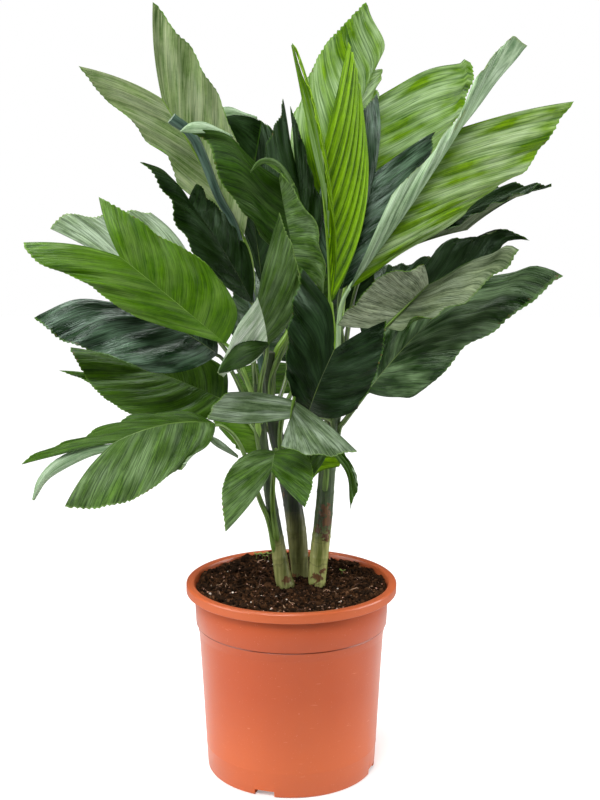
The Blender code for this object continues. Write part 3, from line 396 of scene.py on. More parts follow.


# Each tone's silver and sheen paint sheen: pale patches that stand in for reflections of the lights.
TONES = {
    "young": tone((46, 84, 0), (148, 200, 0), (34, 72, 0), (150, 190, 50), (150, 180, 90), (0.9, 1.0, 0.7),
        rib=0.5, rough=0.42, gloss=0.2, sheen=0.0, crease=0.35),
    "bright": tone((36, 78, 0), (124, 168, 14), (32, 74, 0), (110, 156, 40), (182, 210, 158),
        (0.85, 1.0, 0.75), rib=0.12, rough=0.32, gloss=0.3, sheen=0.9, crease=0.5),
    # A lighter copy of bright: painted light for a brightly lit lobe.
    "sunny": tone((44, 88, 0), (140, 184, 16), (36, 80, 0), (110, 156, 40), (206, 230, 178),
        (0.85, 1.0, 0.75), rib=0.12, rough=0.32, gloss=0.3, sheen=0.9, crease=0.5),
    "leaf": tone((34, 72, 0), (92, 138, 8), (30, 66, 0), (110, 152, 40), (132, 162, 84), (0.85, 1.0, 0.75),
        rib=0.08, rough=0.36, gloss=0.3, sheen=0.4, crease=0.3),
    "mid": tone((10, 36, 0), (68, 106, 8), (8, 32, 0), (92, 132, 36), (110, 144, 70), (0.75, 1.0, 0.7),
        rib=0.1, rough=0.34, gloss=0.2, sheen=0.3, crease=0.5),
    "low": tone((4, 22, 0), (46, 80, 4), (4, 20, 0), (84, 122, 36), (100, 126, 74), (0.75, 1.0, 0.7),
        rib=0.1, rough=0.36, gloss=0.2, sheen=0.25, crease=0.5),
    # Dark green with strong painted sheen: pale patches that stand in for gloss highlights.
    "patchy": tone((0, 16, 0), (32, 64, 6), (0, 14, 0), (92, 128, 60), (124, 152, 108), (0.8, 1.0, 0.75),
        rib=0.1, rough=0.3, gloss=0.25, sheen=0.8, crease=0.5),
    "soft": tone((20, 46, 4), (88, 124, 44), (18, 42, 6), (120, 150, 80), (142, 168, 122), (0.85, 1.0, 0.8),
        rib=0.1, rough=0.4, gloss=0.2, sheen=0.5, crease=0.6),
    "mist": tone((38, 60, 26), (126, 150, 108), (32, 54, 22), (120, 150, 80), (182, 200, 176),
        (0.85, 1.0, 0.8), rib=0.1, rough=0.42, gloss=0.2, sheen=0.7, crease=0.6),
    "dark": tone((2, 14, 0), (26, 50, 8), (2, 12, 0), (66, 104, 28), (78, 106, 70), (0.7, 1.0, 0.7),
        rib=0.12, rough=0.28, gloss=0.25, sheen=0.3, crease=0.5),
    # A darker copy of dark: painted shade for a lobe in shadow.
    "night": tone((0, 9, 0), (18, 38, 4), (0, 8, 0), (66, 104, 28), (66, 96, 62), (0.7, 1.0, 0.7), rib=0.12,
        rough=0.3, gloss=0.2, sheen=0.3, crease=0.5),
    "blue": tone((2, 14, 4), (36, 62, 34), (2, 12, 4), (84, 118, 50), (122, 156, 126), (0.8, 1.0, 0.88),
        rib=0.12, rough=0.18, gloss=0.35, sheen=0.6, crease=0.65),
    "pale": tone((54, 90, 20), (150, 172, 112), (176, 186, 140), (70, 118, 20), (186, 194, 164),
        (0.9, 1.0, 0.85), rib=-0.1, rough=0.5, gloss=0.15, sheen=0.5, crease=0.35),
    "silver": tone((82, 120, 72), (190, 216, 174), (60, 96, 52), (136, 156, 100), (212, 232, 204),
        (0.85, 1.0, 0.85), rib=0.12, rough=0.44, gloss=0.25, sheen=0.6, crease=0.5),
    # A lighter copy of silver: painted light on a lobe that faces away from the lights.
    "frost": tone((104, 146, 84), (240, 252, 228), (84, 122, 70), (150, 170, 112), (250, 255, 246),
        (0.85, 1.0, 0.85), rib=0.12, rough=0.44, gloss=0.25, sheen=0.6, crease=0.5),
    # A lighter copy of grey: painted light on a shaded underside.
    "ash": tone((52, 70, 38), (206, 220, 182), (42, 60, 32), (84, 116, 46), (222, 234, 204),
        (0.9, 1.0, 0.85), rib=0.05, rough=0.5, gloss=0.15, sheen=0.5, crease=0.6),
    "grey": tone((54, 74, 40), (150, 164, 126), (42, 60, 32), (84, 116, 46), (170, 182, 158),
        (0.9, 1.0, 0.85), rib=0.05, rough=0.5, gloss=0.15, sheen=0.35, crease=0.6),
}

# Tones of each frond: upper and lower face of its left lobe, then of its right one where that differs.
FACES = {
    "young_centre": "young young", "upper_right": "silver pale sunny pale", "centre_right": "blue grey",
    "back_right": "bright pale", "top": "bright pale", "centre_dark": "dark grey",
    "tucked_left": "dark silver", "folded_left": "low silver soft mid", "upper_left": "bright pale",
    "left_dark": "dark grey", "left_bright": "leaf pale", "left_glossy": "blue grey",
    "left_under": "mid pale", "low_left": "soft silver mid silver", "rear_low_left": "mid silver",
    "rear_left": "dark grey mist mist", "front_curled": "frost mid soft silver", "front_dark": "night grey",
    "turned_right": "mid grey mid ash", "low_right": "patchy grey", "shaded_right": "dark grey",
    "far_right": "dark grey", "front_draped": "mid mist", "front_low": "mid grey soft grey",
    "small_lime": "leaf leaf", "small_hanging": "mid silver", "rear_high": "mid pale",
    "rear_right": "dark grey", "rear_low_right": "dark grey", "rear_middle": "dark grey",
    "rear_drooping": "mid grey",
}

# Tone of the stalk and midrib where it isn't that of the left lobe.
STALK_TONES = {"front_curled": "mid"}
# Tones whose stalks are the palest, and how far the stalks of these and of others go to pale green.
FRESH_TONES = ("young", "leaf", "bright", "sunny")
FRESH_PALENESS = 0.75
STALK_PALENESS = 0.45
STALK_PALE = linear(146, 176, 88)

# How strongly each blade is pleated over its veins, waved, and rippled along its margin.
PLAIN_STYLE = (0.35, 1.0, 1.0)
STYLES = {
    "young_centre": (1.5, 0.3, 0.3), "upper_right": (0.9, 0.8, 0.8), "back_right": (0.6, 1.1, 1.0),
    "top": (0.5, 0.9, 1.0), "upper_left": (0.6, 1.0, 1.0), "left_glossy": (0.3, 2.4, 1.0),
    "turned_right": (0.4, 2.0, 2.4), "left_under": (0.8, 1.0, 1.0), "centre_right": (0.4, 1.3, 1.0),
    "small_lime": (0.6, 1.0, 1.0),
}

# Look of each cane: its brightness, which is painted light and shade (below 1 darkens the cane
# as in shade, above 1 lightens it as lit), how much of it is torn, how high its pale foot
# reaches, and the middle and reach of each brown scar left by a torn leaf sheath.
CANE_LOOKS = {
    "left": (0.75, 0.0, 0.24, (((-0.004, 0.002, 0.19), 0.006),)),
    "middle": (0.4, 0.0, 0.255, (((0.003, 0.03, 0.186), 0.006),)),
    "right": (1.2, 0.02, 0.245, (
        ((0.034, 0.002, 0.262), 0.012), ((0.036, 0.002, 0.25), 0.012), ((0.026, 0.002, 0.243), 0.008),
        ((0.036, 0.003, 0.236), 0.007), ((0.026, 0.002, 0.193), 0.009), ((0.034, 0.002, 0.2), 0.007))),
}

# Noise drawn out along the veins: how often it changes across and along them, and its range.
STREAKS = (3.2, 1.3, 0.36, 0.64)
THREADS = (11.0, 1.8, 0.4, 0.6)
# Where the painted sheen lies: pale patches that stand in for reflections of the lights.
PAINTED_SHEEN_PATCHES = (0.7, 1.3, 0.44, 0.62)
CREASES = (3.7, 1.0, 0.3, 0.7)
# Share of each layer in how light a leaf is: streaks, threads, blotches, fine veins, grain.
LAYER_SHARES = (0.34, 0.3, 0.26, 0.22, 0.16)

# Studio: each soft light's place, size and power, and the camera.
LIGHTS = {
    "soft left": ((-2.0, -0.6, 0.85), (1.8, 1.5), 38),
    "soft right": ((2.1, 0.0, 0.85), (1.5, 1.5), 44),
    "soft front": ((-0.4, -1.7, 2.0), (1.2, 0.8), 46),
    "soft top": ((-0.3, 0.5, 2.0), (1.3, 0.8), 32),
}
LIT_POINT = (0, 0, 0.42)
AMBIENT = 0.06
FLOOR_REACH = 4.0
FLOOR_DROP = 0.5 * MM
LENS = 57.9
SENSOR_WIDTH = 36
SHIFT = 0.0108
CAMERA_PLACE = (0, -1.238, 0.597)
CAMERA_DIP = 10.17


def unit(vector):
    return vector / max(np.linalg.norm(vector), 1e-12)


def units(vectors):
    return vectors / np.maximum(np.linalg.norm(vectors, axis=-1, keepdims=True), 1e-12)


def point(values):
    return np.array(values, float) * MM


def round_point(radius, angle, height=0.0):
    return np.array([radius * math.cos(angle), radius * math.sin(angle), height])


def smooth_step(low, high, value):
    t = np.clip((value - low) / (high - low), 0, 1)
    return t * t * (3 - 2 * t)


def shown(name, data):
    """A new object of the scene, at its origin."""
    made = bpy.data.objects.new(name, data)
    bpy.context.scene.collection.objects.link(made)
    return made


# Meshes

class Form:
    """Gathers the vertices, faces, material numbers and vein coordinates of one piece."""

    def __init__(self):
        self.vertices, self.faces, self.slots, self.veins = [], [], [], []
        self.count = 0

    def add(self, vertices, faces, slot=0, veins=None):
        vertices = np.asarray(vertices, float).reshape(-1, 3)
        if veins is None:
            veins = np.zeros((len(vertices), 2))
        self.vertices.append(vertices)
        self.veins.append(np.asarray(veins, float).reshape(-1, 2))
        self.join([[int(i) + self.count for i in face] for face in faces], slot)
        self.count += len(vertices)

    def join(self, faces, slot):
        """Add faces between vertices that are already there."""
        self.faces += faces
        self.slots += [slot] * len(faces)

    def piece(self, name, materials, sharp=50):
        mesh = bpy.data.meshes.new(name)
        mesh.from_pydata(np.concatenate(self.vertices).tolist(), [], self.faces)
        for material in materials:
            mesh.materials.append(material)
        mesh.polygons.foreach_set("material_index", self.slots)
        corners = np.empty(len(mesh.loops), int)
        mesh.loops.foreach_get("vertex_index", corners)
        layer = mesh.uv_layers.new(name="veins")
        layer.data.foreach_set("uv", np.concatenate(self.veins)[corners].ravel())
        mesh.shade_smooth()
        mesh.set_sharp_from_angle(angle=math.radians(sharp))
        return shown(name, mesh)


def hand_over(piece, slot, *nodes):
    """Ride the piece on the part's one body and let it stand for its solids; the slot is not used."""
    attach(piece, "root")
    for name in nodes:
        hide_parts(name)


def slot_of(name):
    for part in frame["record"]["subparts"]:
        if part["node"] == name:
            return part["material_slot"]


def band(lower, upper):
    """Faces between two rings of vertex numbers; a ring of one repeated number is a pole."""
    faces = []
    for k, here in enumerate(lower):
        following = (k + 1) % len(lower)
        corners = (here, lower[following], upper[following], upper[k])
        faces.append(tuple(dict.fromkeys(corners)))
    return faces


def revolve(profile, sides):
    """Turn a closed outline of (radius, height) about Z; points on the axis become poles."""
    vertices = []
    rings = []
    for radius, height in profile:
        if radius == 0:
            rings.append([len(vertices)] * sides)
            vertices.append((0, 0, height))
        else:
            rings.append(range(len(vertices), len(vertices) + sides))
            vertices += [round_point(radius, TURN * k / sides, height) for k in range(sides)]
    faces = []
    for lower, upper in zip(rings, rings[1:]):
        faces += band(lower, upper)
    return vertices, faces


def tube(path, radii, sides):
    """A closed round rod along a path, with its coordinates round and along it."""
    path = np.asarray(path, float)
    tangents = units(np.gradient(path, axis=0))
    across = None
    vertices = []
    veins = []
    travelled = np.concatenate([[0], np.cumsum(np.linalg.norm(np.diff(path, axis=0), axis=1))])
    for centre, tangent, radius, length in zip(path, tangents, radii, travelled):
        if across is None:
            guide = np.array([0, 0, 1.0]) if abs(tangent[2]) < 0.95 else np.array([1.0, 0, 0])
            across = np.cross(tangent, guide)
        across = unit(across - tangent * (across @ tangent))
        other = np.cross(tangent, across)
        for k in range(sides):
            angle = TURN * k / sides
            vertices.append(centre + radius * (math.cos(angle) * across + math.sin(angle) * other))
            veins.append((k / sides, length))
    rings = [range(start, start + sides) for start in range(0, len(vertices), sides)]
    faces = [tuple(rings[0])[::-1]]
    for lower, upper in zip(rings, rings[1:]):
        faces += band(lower, upper)
    faces.append(tuple(rings[-1]))
    return vertices, faces, veins


# Materials

def node(tree, kind, inputs=None, **settings):
    """A shader node with its settings, and with inputs set or linked."""
    made = tree.nodes.new("ShaderNode" + kind)
    for key, value in settings.items():
        setattr(made, key, value)
    for key, value in (inputs or {}).items():
        if isinstance(value, bpy.types.NodeSocket):
            tree.links.new(value, made.inputs[key])
        else:
            made.inputs[key].default_value = value
    return made


def math_node(tree, operation, *values):
    return node(tree, "Math", dict(enumerate(values)), operation=operation).outputs[0]


def times(tree, first, second):
    return math_node(tree, "MULTIPLY", first, second)


def times_add(tree, first, second, third):
    return math_node(tree, "MULTIPLY_ADD", first, second, third)


def beside(tree, value, middle):
    """How far a value lies from a middle."""
    return math_node(tree, "ABSOLUTE", math_node(tree, "SUBTRACT", value, middle))


def crests(tree, value, turn):
    """A wave from 0 to 1 that turns once where the value times turn passes a full circle."""
    return times_add(tree, math_node(tree, "COSINE", times(tree, value, turn)), -0.5, 0.5)


def spread(tree, value, low, high, first=0.0, last=1.0):
    """Map a range of a value onto another, clamped."""
    inputs = {"Value": value, "From Min": low, "From Max": high, "To Min": first, "To Max": last}
    return node(tree, "MapRange", inputs).outputs[0]


def mix(tree, share, first, second):
    """Mix two colours, each a socket or a linear colour."""
    inputs = {0: share}
    for key, value in ((6, first), (7, second)):
        inputs[key] = value if isinstance(value, bpy.types.NodeSocket) else (*value, 1.0)
    return node(tree, "Mix", inputs, data_type="RGBA").outputs[2]


def noise_value(tree, vector, scale, detail=2.0, roughness=0.5):
    inputs = {"Vector": vector, "Scale": scale, "Detail": detail, "Roughness": roughness}
    return node(tree, "TexNoise", inputs).outputs[0]


def object_place(tree):
    return node(tree, "TexCoord").outputs["Object"]


def vein_place(tree):
    return node(tree, "UVMap", uv_map="veins").outputs[0]


def stretched(tree, vector, *scale):
    return node(tree, "Mapping", {"Vector": vector, "Scale": scale}).outputs[0]


def patches(tree, vector, low, high, first, last, *shape):
    """Noise of a scale, detail and roughness, spread onto a range."""
    return spread(tree, noise_value(tree, vector, *shape), low, high, first, last)


def mottle(tree, vector, low, high, *shape):
    """Noise of a scale, detail and roughness, spread from 0 to 1."""
    return patches(tree, vector, low, high, 0.0, 1.0, *shape)


def vein_noise(tree, veins, across, along, low, high):
    """Noise drawn out along the veins, spread from 0 to 1."""
    return mottle(tree, stretched(tree, veins, across, along, 1.0), low, high, 1.0, 2.5, 0.6)


def shader_of(material):
    return material.node_tree.nodes["Principled BSDF"]


def start_material(name, roughness, specular=0.5):
    material = bpy.data.materials.new(name)
    material.use_nodes = True
    shader_of(material).inputs["Roughness"].default_value = roughness
    shader_of(material).inputs["Specular IOR Level"].default_value = specular
    return material, material.node_tree


def finish_material(material, colour, height=None, distance=0.0, strength=1.0):
    """Link the colour and, where a height is given, the bump."""
    tree, shader = material.node_tree, shader_of(material)
    tree.links.new(colour, shader.inputs["Base Color"])
    if height is not None:
        bump = node(tree, "Bump", {"Height": height, "Distance": distance, "Strength": strength})
        tree.links.new(bump.outputs[0], shader.inputs["Normal"])
    return material


def leaf_material(name, look):
    """Green ribbed and streaked along the veins, with patches of painted sheen that stand in for
    reflections of the lights, and a thin paler margin.
    """
    material, tree = start_material(name, look["rough"], look["gloss"])
    shader_of(material).inputs["Specular Tint"].default_value = (*look["tint"], 1.0)
    veins = vein_place(tree)
    across, along, _ = node(tree, "SeparateXYZ", {0: veins}).outputs
    place = object_place(tree)
    streaks = vein_noise(tree, veins, *STREAKS)
    threads = vein_noise(tree, veins, *THREADS)
    painted_sheen_mask = vein_noise(tree, veins, *PAINTED_SHEEN_PATCHES)
    ridges = vein_noise(tree, veins, *CREASES)
    crease = spread(tree, beside(tree, ridges, 0.5), 0.0, 0.11, 1.0, 0.0)
    blotches = mottle(tree, place, 0.34, 0.66, 22.0, 3.0, 0.55)
    grain = mottle(tree, place, 0.36, 0.64, 210.0, 3.0, 0.7)
    wander = times_add(tree, streaks, 0.35, across)
    crest = crests(tree, across, TURN)
    fine = crests(tree, wander, TURN * FINE_VEINS)
    shares = (look["rib"], *LAYER_SHARES)
    weight = 0.5 - 0.5 * sum(shares)
    for layer, share in zip((crest, streaks, threads, blotches, fine, grain), shares):
        weight = times_add(tree, layer, share, weight)
    colour = mix(tree, spread(tree, weight, 0.0, 1.0), look["deep"], look["light"])
    # Painted sheen: pale silver patches along the veins stand in for reflections of the lights.
    painted_shine = times(tree, painted_sheen_mask, times_add(tree, threads, 0.45, 0.55))
    colour = mix(tree, times(tree, painted_shine, look["sheen"]), colour, look["silver"])
    colour = mix(tree, times(tree, crease, look["crease"]), colour, look["line"])
    beside_vein = beside(tree, math_node(tree, "FRACT", across), 0.5)
    groove = spread(tree, beside_vein, 0.455, 0.5, 0.0, 0.5)
    colour = mix(tree, groove, colour, look["line"])
    colour = mix(tree, spread(tree, along, 0.972, 1.0, 0.0, 0.75), colour, look["edge"])
    specks = patches(tree, place, 0.66, 0.71, 0.0, 0.85, 230.0, 1.0)
    colour = mix(tree, times(tree, specks, spread(tree, along, 0.955, 0.99)), colour, linear(92, 66, 36))
    roughness = spread(tree, blotches, 0.0, 1.0, look["rough"] - 0.05, look["rough"] + 0.07)
    tree.links.new(roughness, shader_of(material).inputs["Roughness"])
    height = times_add(tree, fine, 0.5, times(tree, groove, -0.9))
    for layer, share in ((crease, -0.8), (streaks, 0.8), (threads, 0.6)):
        height = times_add(tree, layer, share, height)
    return finish_material(material, colour, height, 0.14 * MM)


def stalk_material(name, low, high):
    """Green of a leaf stalk and midrib, finely streaked along its length."""
    material, tree = start_material(name, 0.38)
    streaks = mottle(tree, stretched(tree, vein_place(tree), 9.0, 30.0, 1.0), 0.35, 0.65, 1.0)
    return finish_material(material, mix(tree, streaks, low, high))


def leaf_looks():
    """Materials of the leaves by the name of their tone, and of their stalks after "stalk "."""
    looks = {}
    for name, look in TONES.items():
        looks[name] = leaf_material("leaf " + name, look)
        paleness = FRESH_PALENESS if name in FRESH_TONES else STALK_PALENESS
        low = tuple(0.6 * a + 0.4 * b for a, b in zip(look["deep"], look["light"]))
        high = tuple(a + paleness * (b - a) for a, b in zip(look["light"], STALK_PALE))
        looks["stalk " + name] = stalk_material("stalk " + name, low, high)
    return looks


def cane_material(name, painted_light_level, scarring, pale_top, scars):
    """Pale yellow-green at the foot, grey-green above, with faint ring scars and torn sheath."""
    material, tree = start_material(name, 0.45)
    place = object_place(tree)
    height = node(tree, "SeparateXYZ", {0: place}).outputs[2]
    streaks = mottle(tree, stretched(tree, place, 260.0, 260.0, 22.0), 0.32, 0.68, 1.0, 3.0, 0.6)

    # The cane's brightness scales both colours: painted light and shade.
    def streaked(dark, light):
        return mix(tree, streaks, *(tuple(c * painted_light_level for c in colour) for colour in (dark, light)))

    foot = streaked(linear(104, 114, 50), linear(176, 178, 110))
    stem = streaked(linear(22, 42, 14), linear(78, 98, 56))
    ragged_height = times_add(tree, noise_value(tree, place, 60.0), 0.03, height)
    colour = mix(tree, spread(tree, ragged_height, pale_top, pale_top + PALE_FOOT_FADE), foot, stem)
    ring_place = node(tree, "SeparateXYZ", {0: vein_place(tree)}).outputs[1]
    uneven = times_add(tree, noise_value(tree, place, 90.0), 0.5, ring_place)
    beside_ring = beside(tree, math_node(tree, "FRACT", uneven), 0.5)
    colour = mix(tree, spread(tree, beside_ring, 0.46, 0.49, 0.0, 0.35), colour, linear(70, 66, 40))
    torn = mottle(tree, place, 0.66 - scarring, 0.7 - scarring, 42.0, 4.0, 0.65)
    torn = times(tree, torn, spread(tree, height, *TORN_BELOW))
    ragged = times_add(tree, noise_value(tree, place, 210.0, 4.0, 0.7), 3.0, -1.5)
    for centre, reach in scars:
        away = node(tree, "VectorMath", {0: place, 1: centre}, operation="DISTANCE").outputs["Value"]
        worn = math_node(tree, "ADD", math_node(tree, "DIVIDE", away, reach), ragged)
        torn = math_node(tree, "MAXIMUM", torn, spread(tree, worn, 0.5, 0.62, 1.0, 0.0))
    brown = mix(tree, streaks, linear(70, 42, 18), linear(130, 94, 56))
    relief = math_node(tree, "ADD", streaks, times(tree, torn, 2.0))
    return finish_material(material, mix(tree, torn, colour, brown), relief, 0.3 * MM)


def pot_material():
    """Satin terracotta-coloured plastic with faint flow marks and scuffs; painted light pales it
    towards the foot and a painted shadow darkens a line at the ledge.
    """
    material, tree = start_material("pot plastic", 0.3)
    place = object_place(tree)
    height = node(tree, "SeparateXYZ", {0: place}).outputs[2]
    lip_foot = POT_HEIGHT - LIP_HEIGHT
    colour = mix(tree, mottle(tree, place, 0.3, 0.7, 9.0, 3.0), linear(178, 72, 22), linear(186, 82, 32))
    # Painted light: paler towards the foot, standing in for light bounced up from the floor.
    colour = mix(tree, spread(tree, height, 0.1, 0.02, 0.0, 0.55), colour, linear(206, 104, 56))
    lip = spread(tree, height, lip_foot - 0.5 * MM, lip_foot + 0.5 * MM, 0.0, 0.6)
    colour = mix(tree, lip, colour, linear(200, 106, 66))
    # Painted shadow: a dark line just under the band's ledge, where its shade falls.
    beside_ledge = beside(tree, height, BAND_TOP - 0.8 * MM)
    colour = mix(tree, spread(tree, beside_ledge, 0.5 * MM, 1.1 * MM, 0.75, 0.0), colour, linear(112, 46, 22))
    flow = patches(tree, stretched(tree, place, 60.0, 60.0, 420.0), 0.76, 0.79, 0.0, 0.3, 1.0, 1.0)
    colour = mix(tree, flow, colour, linear(226, 150, 118))
    dust = patches(tree, place, 0.8, 0.84, 0.0, 0.3, 900.0, 0.0)
    colour = mix(tree, dust, colour, linear(228, 160, 132))
    return finish_material(material, colour, noise_value(tree, place, 700.0), 0.12 * MM, 0.5)


def soil_material(name, dark, light):
    material, tree = start_material(name, 0.9, 0.08)
    place = object_place(tree)
    colour = mix(tree, mottle(tree, place, 0.35, 0.7, 260.0, 4.0, 0.65), linear(*dark), linear(*light))
    return finish_material(material, colour, noise_value(tree, place, 900.0, 3.0), 0.6 * MM)


def plain_material(name, colour, roughness):
    """One colour with a faint mottling, for small pieces."""
    material, tree = start_material(name, roughness, 0.4)
    bright = linear(*colour)
    share = mottle(tree, object_place(tree), 0.3, 0.7, 300.0)
    return finish_material(material, mix(tree, share, tuple(c * 0.85 for c in bright), bright))


# Pot

def pot_outline():
    """Radius and height of each point round the wall of the pot, from the middle of its underside."""
    foot_inner = BASE_RADIUS - FOOT_RING_WIDTH
    slope = (BAND_FOOT_RADIUS - BASE_RADIUS) / BAND_BOTTOM
    mould = BASE_RADIUS + slope * MOULD_LINE_HEIGHT
    ledge = BAND_RADIUS - BAND_LEDGE
    skirt = RIM_RADIUS - LIP_SKIRT
    skirt_top = POT_HEIGHT - LIP_SKIRT * 1.4
    lip_foot = POT_HEIGHT - LIP_HEIGHT
    # Each point: a radius and how many millimetres out from it, a height and how many up from it.
    outside = (
        (0, 0, 0, 0), (CENTRE_PAD_RADIUS, 0, 0, 0), (CENTRE_PAD_RADIUS, 1, FLOOR_RECESS, 0),
        (foot_inner, -1, FLOOR_RECESS, 0), (foot_inner, 0, 0, 0.3), (foot_inner, 0.5, 0, 0),
        (BASE_RADIUS, -1.4, 0, 0), (BASE_RADIUS, -0.5, 0, 0.3), (BASE_RADIUS, 0, 0, 1.2),
        (mould, -0.1, MOULD_LINE_HEIGHT, -1.2), (mould, 0.15, MOULD_LINE_HEIGHT, -0.4),
        (mould, 0.15, MOULD_LINE_HEIGHT, 0.4), (mould, 0.05, MOULD_LINE_HEIGHT, 1.2),
        (BAND_FOOT_RADIUS, -0.25, BAND_BOTTOM, -4), (BAND_FOOT_RADIUS, 0.05, BAND_BOTTOM, -2),
        (BAND_FOOT_RADIUS, 0.45, BAND_BOTTOM, 0), (BAND_FOOT_RADIUS, 0.95, BAND_BOTTOM, 2),
        (ledge, -0.75, BAND_TOP, -3), (ledge, -0.3, BAND_TOP, -1.5), (ledge, -0.6, BAND_TOP, -1.1),
        (ledge, -0.6, BAND_TOP, 0), (BAND_RADIUS, -0.15, BAND_TOP, 0), (BAND_RADIUS, 0, BAND_TOP, 0.3),
        (NECK_RADIUS, 0, lip_foot, -4), (NECK_RADIUS, -0.6, lip_foot, 0),
        (NECK_RADIUS + FLARE, -0.5, skirt_top, -0.5), (NECK_RADIUS + FLARE, 0, skirt_top, 0),
        (skirt, -0.5, skirt_top, 0), (skirt, 0, skirt_top, -0.5), (skirt, 0, lip_foot, 0.2),
        (skirt, 0.3, lip_foot, 0), (RIM_RADIUS, -0.5, lip_foot, 0), (RIM_RADIUS, 0, lip_foot, 0.5))
    inside = (
        (NECK_RADIUS - WALL, 0, lip_foot, 0), (BAND_RADIUS - WALL, 0, BAND_TOP, 0),
        (BAND_FOOT_RADIUS - WALL, 0, BAND_BOTTOM, 0), (BASE_RADIUS - WALL, 0, FLOOR_TOP, 3),
        (BASE_RADIUS - WALL, -3, FLOOR_TOP, 0), (0, 0, FLOOR_TOP, 0))
    before, after = ([(radius + out * MM, height + up * MM) for radius, out, height, up in points]
                     for points in (outside, inside))
    quarters = [(RIM_RADIUS - LIP_BEND, k / 6) for k in range(7)]
    quarters += [(MOUTH_RADIUS + LIP_BEND, 1 + k / 5) for k in range(6)]
    rolled = [(middle + LIP_BEND * math.cos(math.pi / 2 * quarter),
               POT_HEIGHT - LIP_BEND + LIP_BEND * math.sin(math.pi / 2 * quarter))
              for middle, quarter in quarters]
    return before + rolled + after


BOX_FACES = ((0, 1, 3, 2), (4, 6, 7, 5), (0, 4, 5, 1), (2, 3, 7, 6), (0, 2, 6, 4), (1, 5, 7, 3))


def pot_cutters():
    """Boxes for the notches in the foot ring and rods for the drain holes, as one object."""
    cutters = Form()
    for k in range(NOTCH_COUNT):
        angle = FIRST_NOTCH_ANGLE + TURN * k / NOTCH_COUNT
        corners = []
        for depth in (BASE_RADIUS - 1.5 * FOOT_RING_WIDTH, BASE_RADIUS + FOOT_RING_WIDTH):
            for side in (-NOTCH_WIDTH / 2, NOTCH_WIDTH / 2):
                for height in (-2 * MM, NOTCH_HEIGHT - 0.6 * MM):
                    corners.append(round_point(depth, angle, height) + round_point(side, angle + TURN / 4))
        cutters.add(corners, BOX_FACES)
    for k in range(DRAIN_COUNT):
        foot = round_point(DRAIN_CIRCLE, FIRST_NOTCH_ANGLE + TURN * (k + 0.5) / DRAIN_COUNT)
        drain = [foot + (0, 0, FLOOR_RECESS / 2), foot + (0, 0, FLOOR_TOP + FLOOR_RECESS)]
        cutters.add(*tube(drain, (DRAIN_RADIUS, DRAIN_RADIUS), 20)[:2])
    return cutters.piece("pot cutter", [])


def make_pot():
    form = Form()
    form.add(*revolve(pot_outline(), POT_SIDES))
    pot = form.piece("nursery_pot", [pot_material()], POT_SHARP)
    cutter = pot_cutters()
    step = pot.modifiers.new("Cut", "BOOLEAN")
    step.object = cutter
    step.operation = "DIFFERENCE"
    bpy.context.view_layer.update()
    graph = bpy.context.evaluated_depsgraph_get()
    cut = bpy.data.meshes.new_from_object(pot.evaluated_get(graph))
    pot.modifiers.clear()
    pot.data = cut
    cut.shade_smooth()
    cut.set_sharp_from_angle(angle=math.radians(POT_SHARP))
    bpy.data.objects.remove(cutter, do_unlink=True)
    hand_over(pot, "pot_plastic", "pot")


# Soil

def soil_height(x, y):
    """Lumpy surface of the soil."""
    relief = noise.fractal(Vector((x * 45, y * 45, 3.1)), 0.8, 2.1, 5)
    clods = noise.fractal(Vector((x * 130, y * 130, 7.3)), 0.8, 2.1, 3)
    reach = math.hypot(x, y) / SOIL_RADIUS
    aside, behind = ((c - middle) / width for c, middle, width in zip((x, y), HEAP_PLACE, HEAP_REACH))
    heap = BACK_HEAP * math.exp(-aside ** 2 - behind ** 2)
    return SOIL_TOP + SOIL_DISH * reach ** 2 + heap + relief * SOIL_RELIEF + clods * SOIL_CLODS


def make_soil():
    edge = SOIL_RADIUS + 0.4 * MM
    under = SOIL_TOP - SOIL_DEPTH
    angles = [TURN * k / SOIL_SIDES for k in range(SOIL_SIDES)]
    vertices = [(0, 0, soil_height(0, 0))]
    for ring in range(1, SOIL_RINGS + 1):
        for angle in angles:
            x, y, _ = round_point(edge * ring / SOIL_RINGS, angle)
            vertices.append((x, y, soil_height(x, y)))
    vertices += [round_point(BAND_RADIUS - WALL - 1 * MM, angle, under) for angle in angles]
    vertices.append((0, 0, under))
    faces = [(0, 1 + k, 1 + (k + 1) % SOIL_SIDES) for k in range(SOIL_SIDES)]
    for start in range(1, 1 + SOIL_RINGS * SOIL_SIDES, SOIL_SIDES):
        outer = start + SOIL_SIDES
        for k in range(SOIL_SIDES):
            following = (k + 1) % SOIL_SIDES
            faces.append((start + k, outer + k, outer + following, start + following))
    faces += [(outer + (k + 1) % SOIL_SIDES, outer + k, outer + SOIL_SIDES) for k in range(SOIL_SIDES)]
    form = Form()
    form.add(vertices, faces)
    material = soil_material("soil", (10, 5, 1), (74, 47, 26))
    hand_over(form.piece("soil_surface", [material], SOIL_SHARP), "soil", "soil")


ICO = (1 + 5 ** 0.5) / 2
LUMP_POINTS = units(np.array([
    (-1, ICO, 0), (1, ICO, 0), (-1, -ICO, 0), (1, -ICO, 0), (0, -1, ICO), (0, 1, ICO),
    (0, -1, -ICO), (0, 1, -ICO), (ICO, 0, -1), (ICO, 0, 1), (-ICO, 0, -1), (-ICO, 0, 1)], float))
LUMP_FACES = (
    (0, 11, 5), (0, 5, 1), (0, 1, 7), (0, 7, 10), (0, 10, 11), (1, 5, 9), (5, 11, 4), (11, 10, 2),
    (10, 7, 6), (7, 1, 8), (3, 9, 4), (3, 4, 2), (3, 2, 6), (3, 6, 8), (3, 8, 9), (4, 9, 5),
    (2, 4, 11), (6, 2, 10), (8, 6, 7), (9, 8, 1))


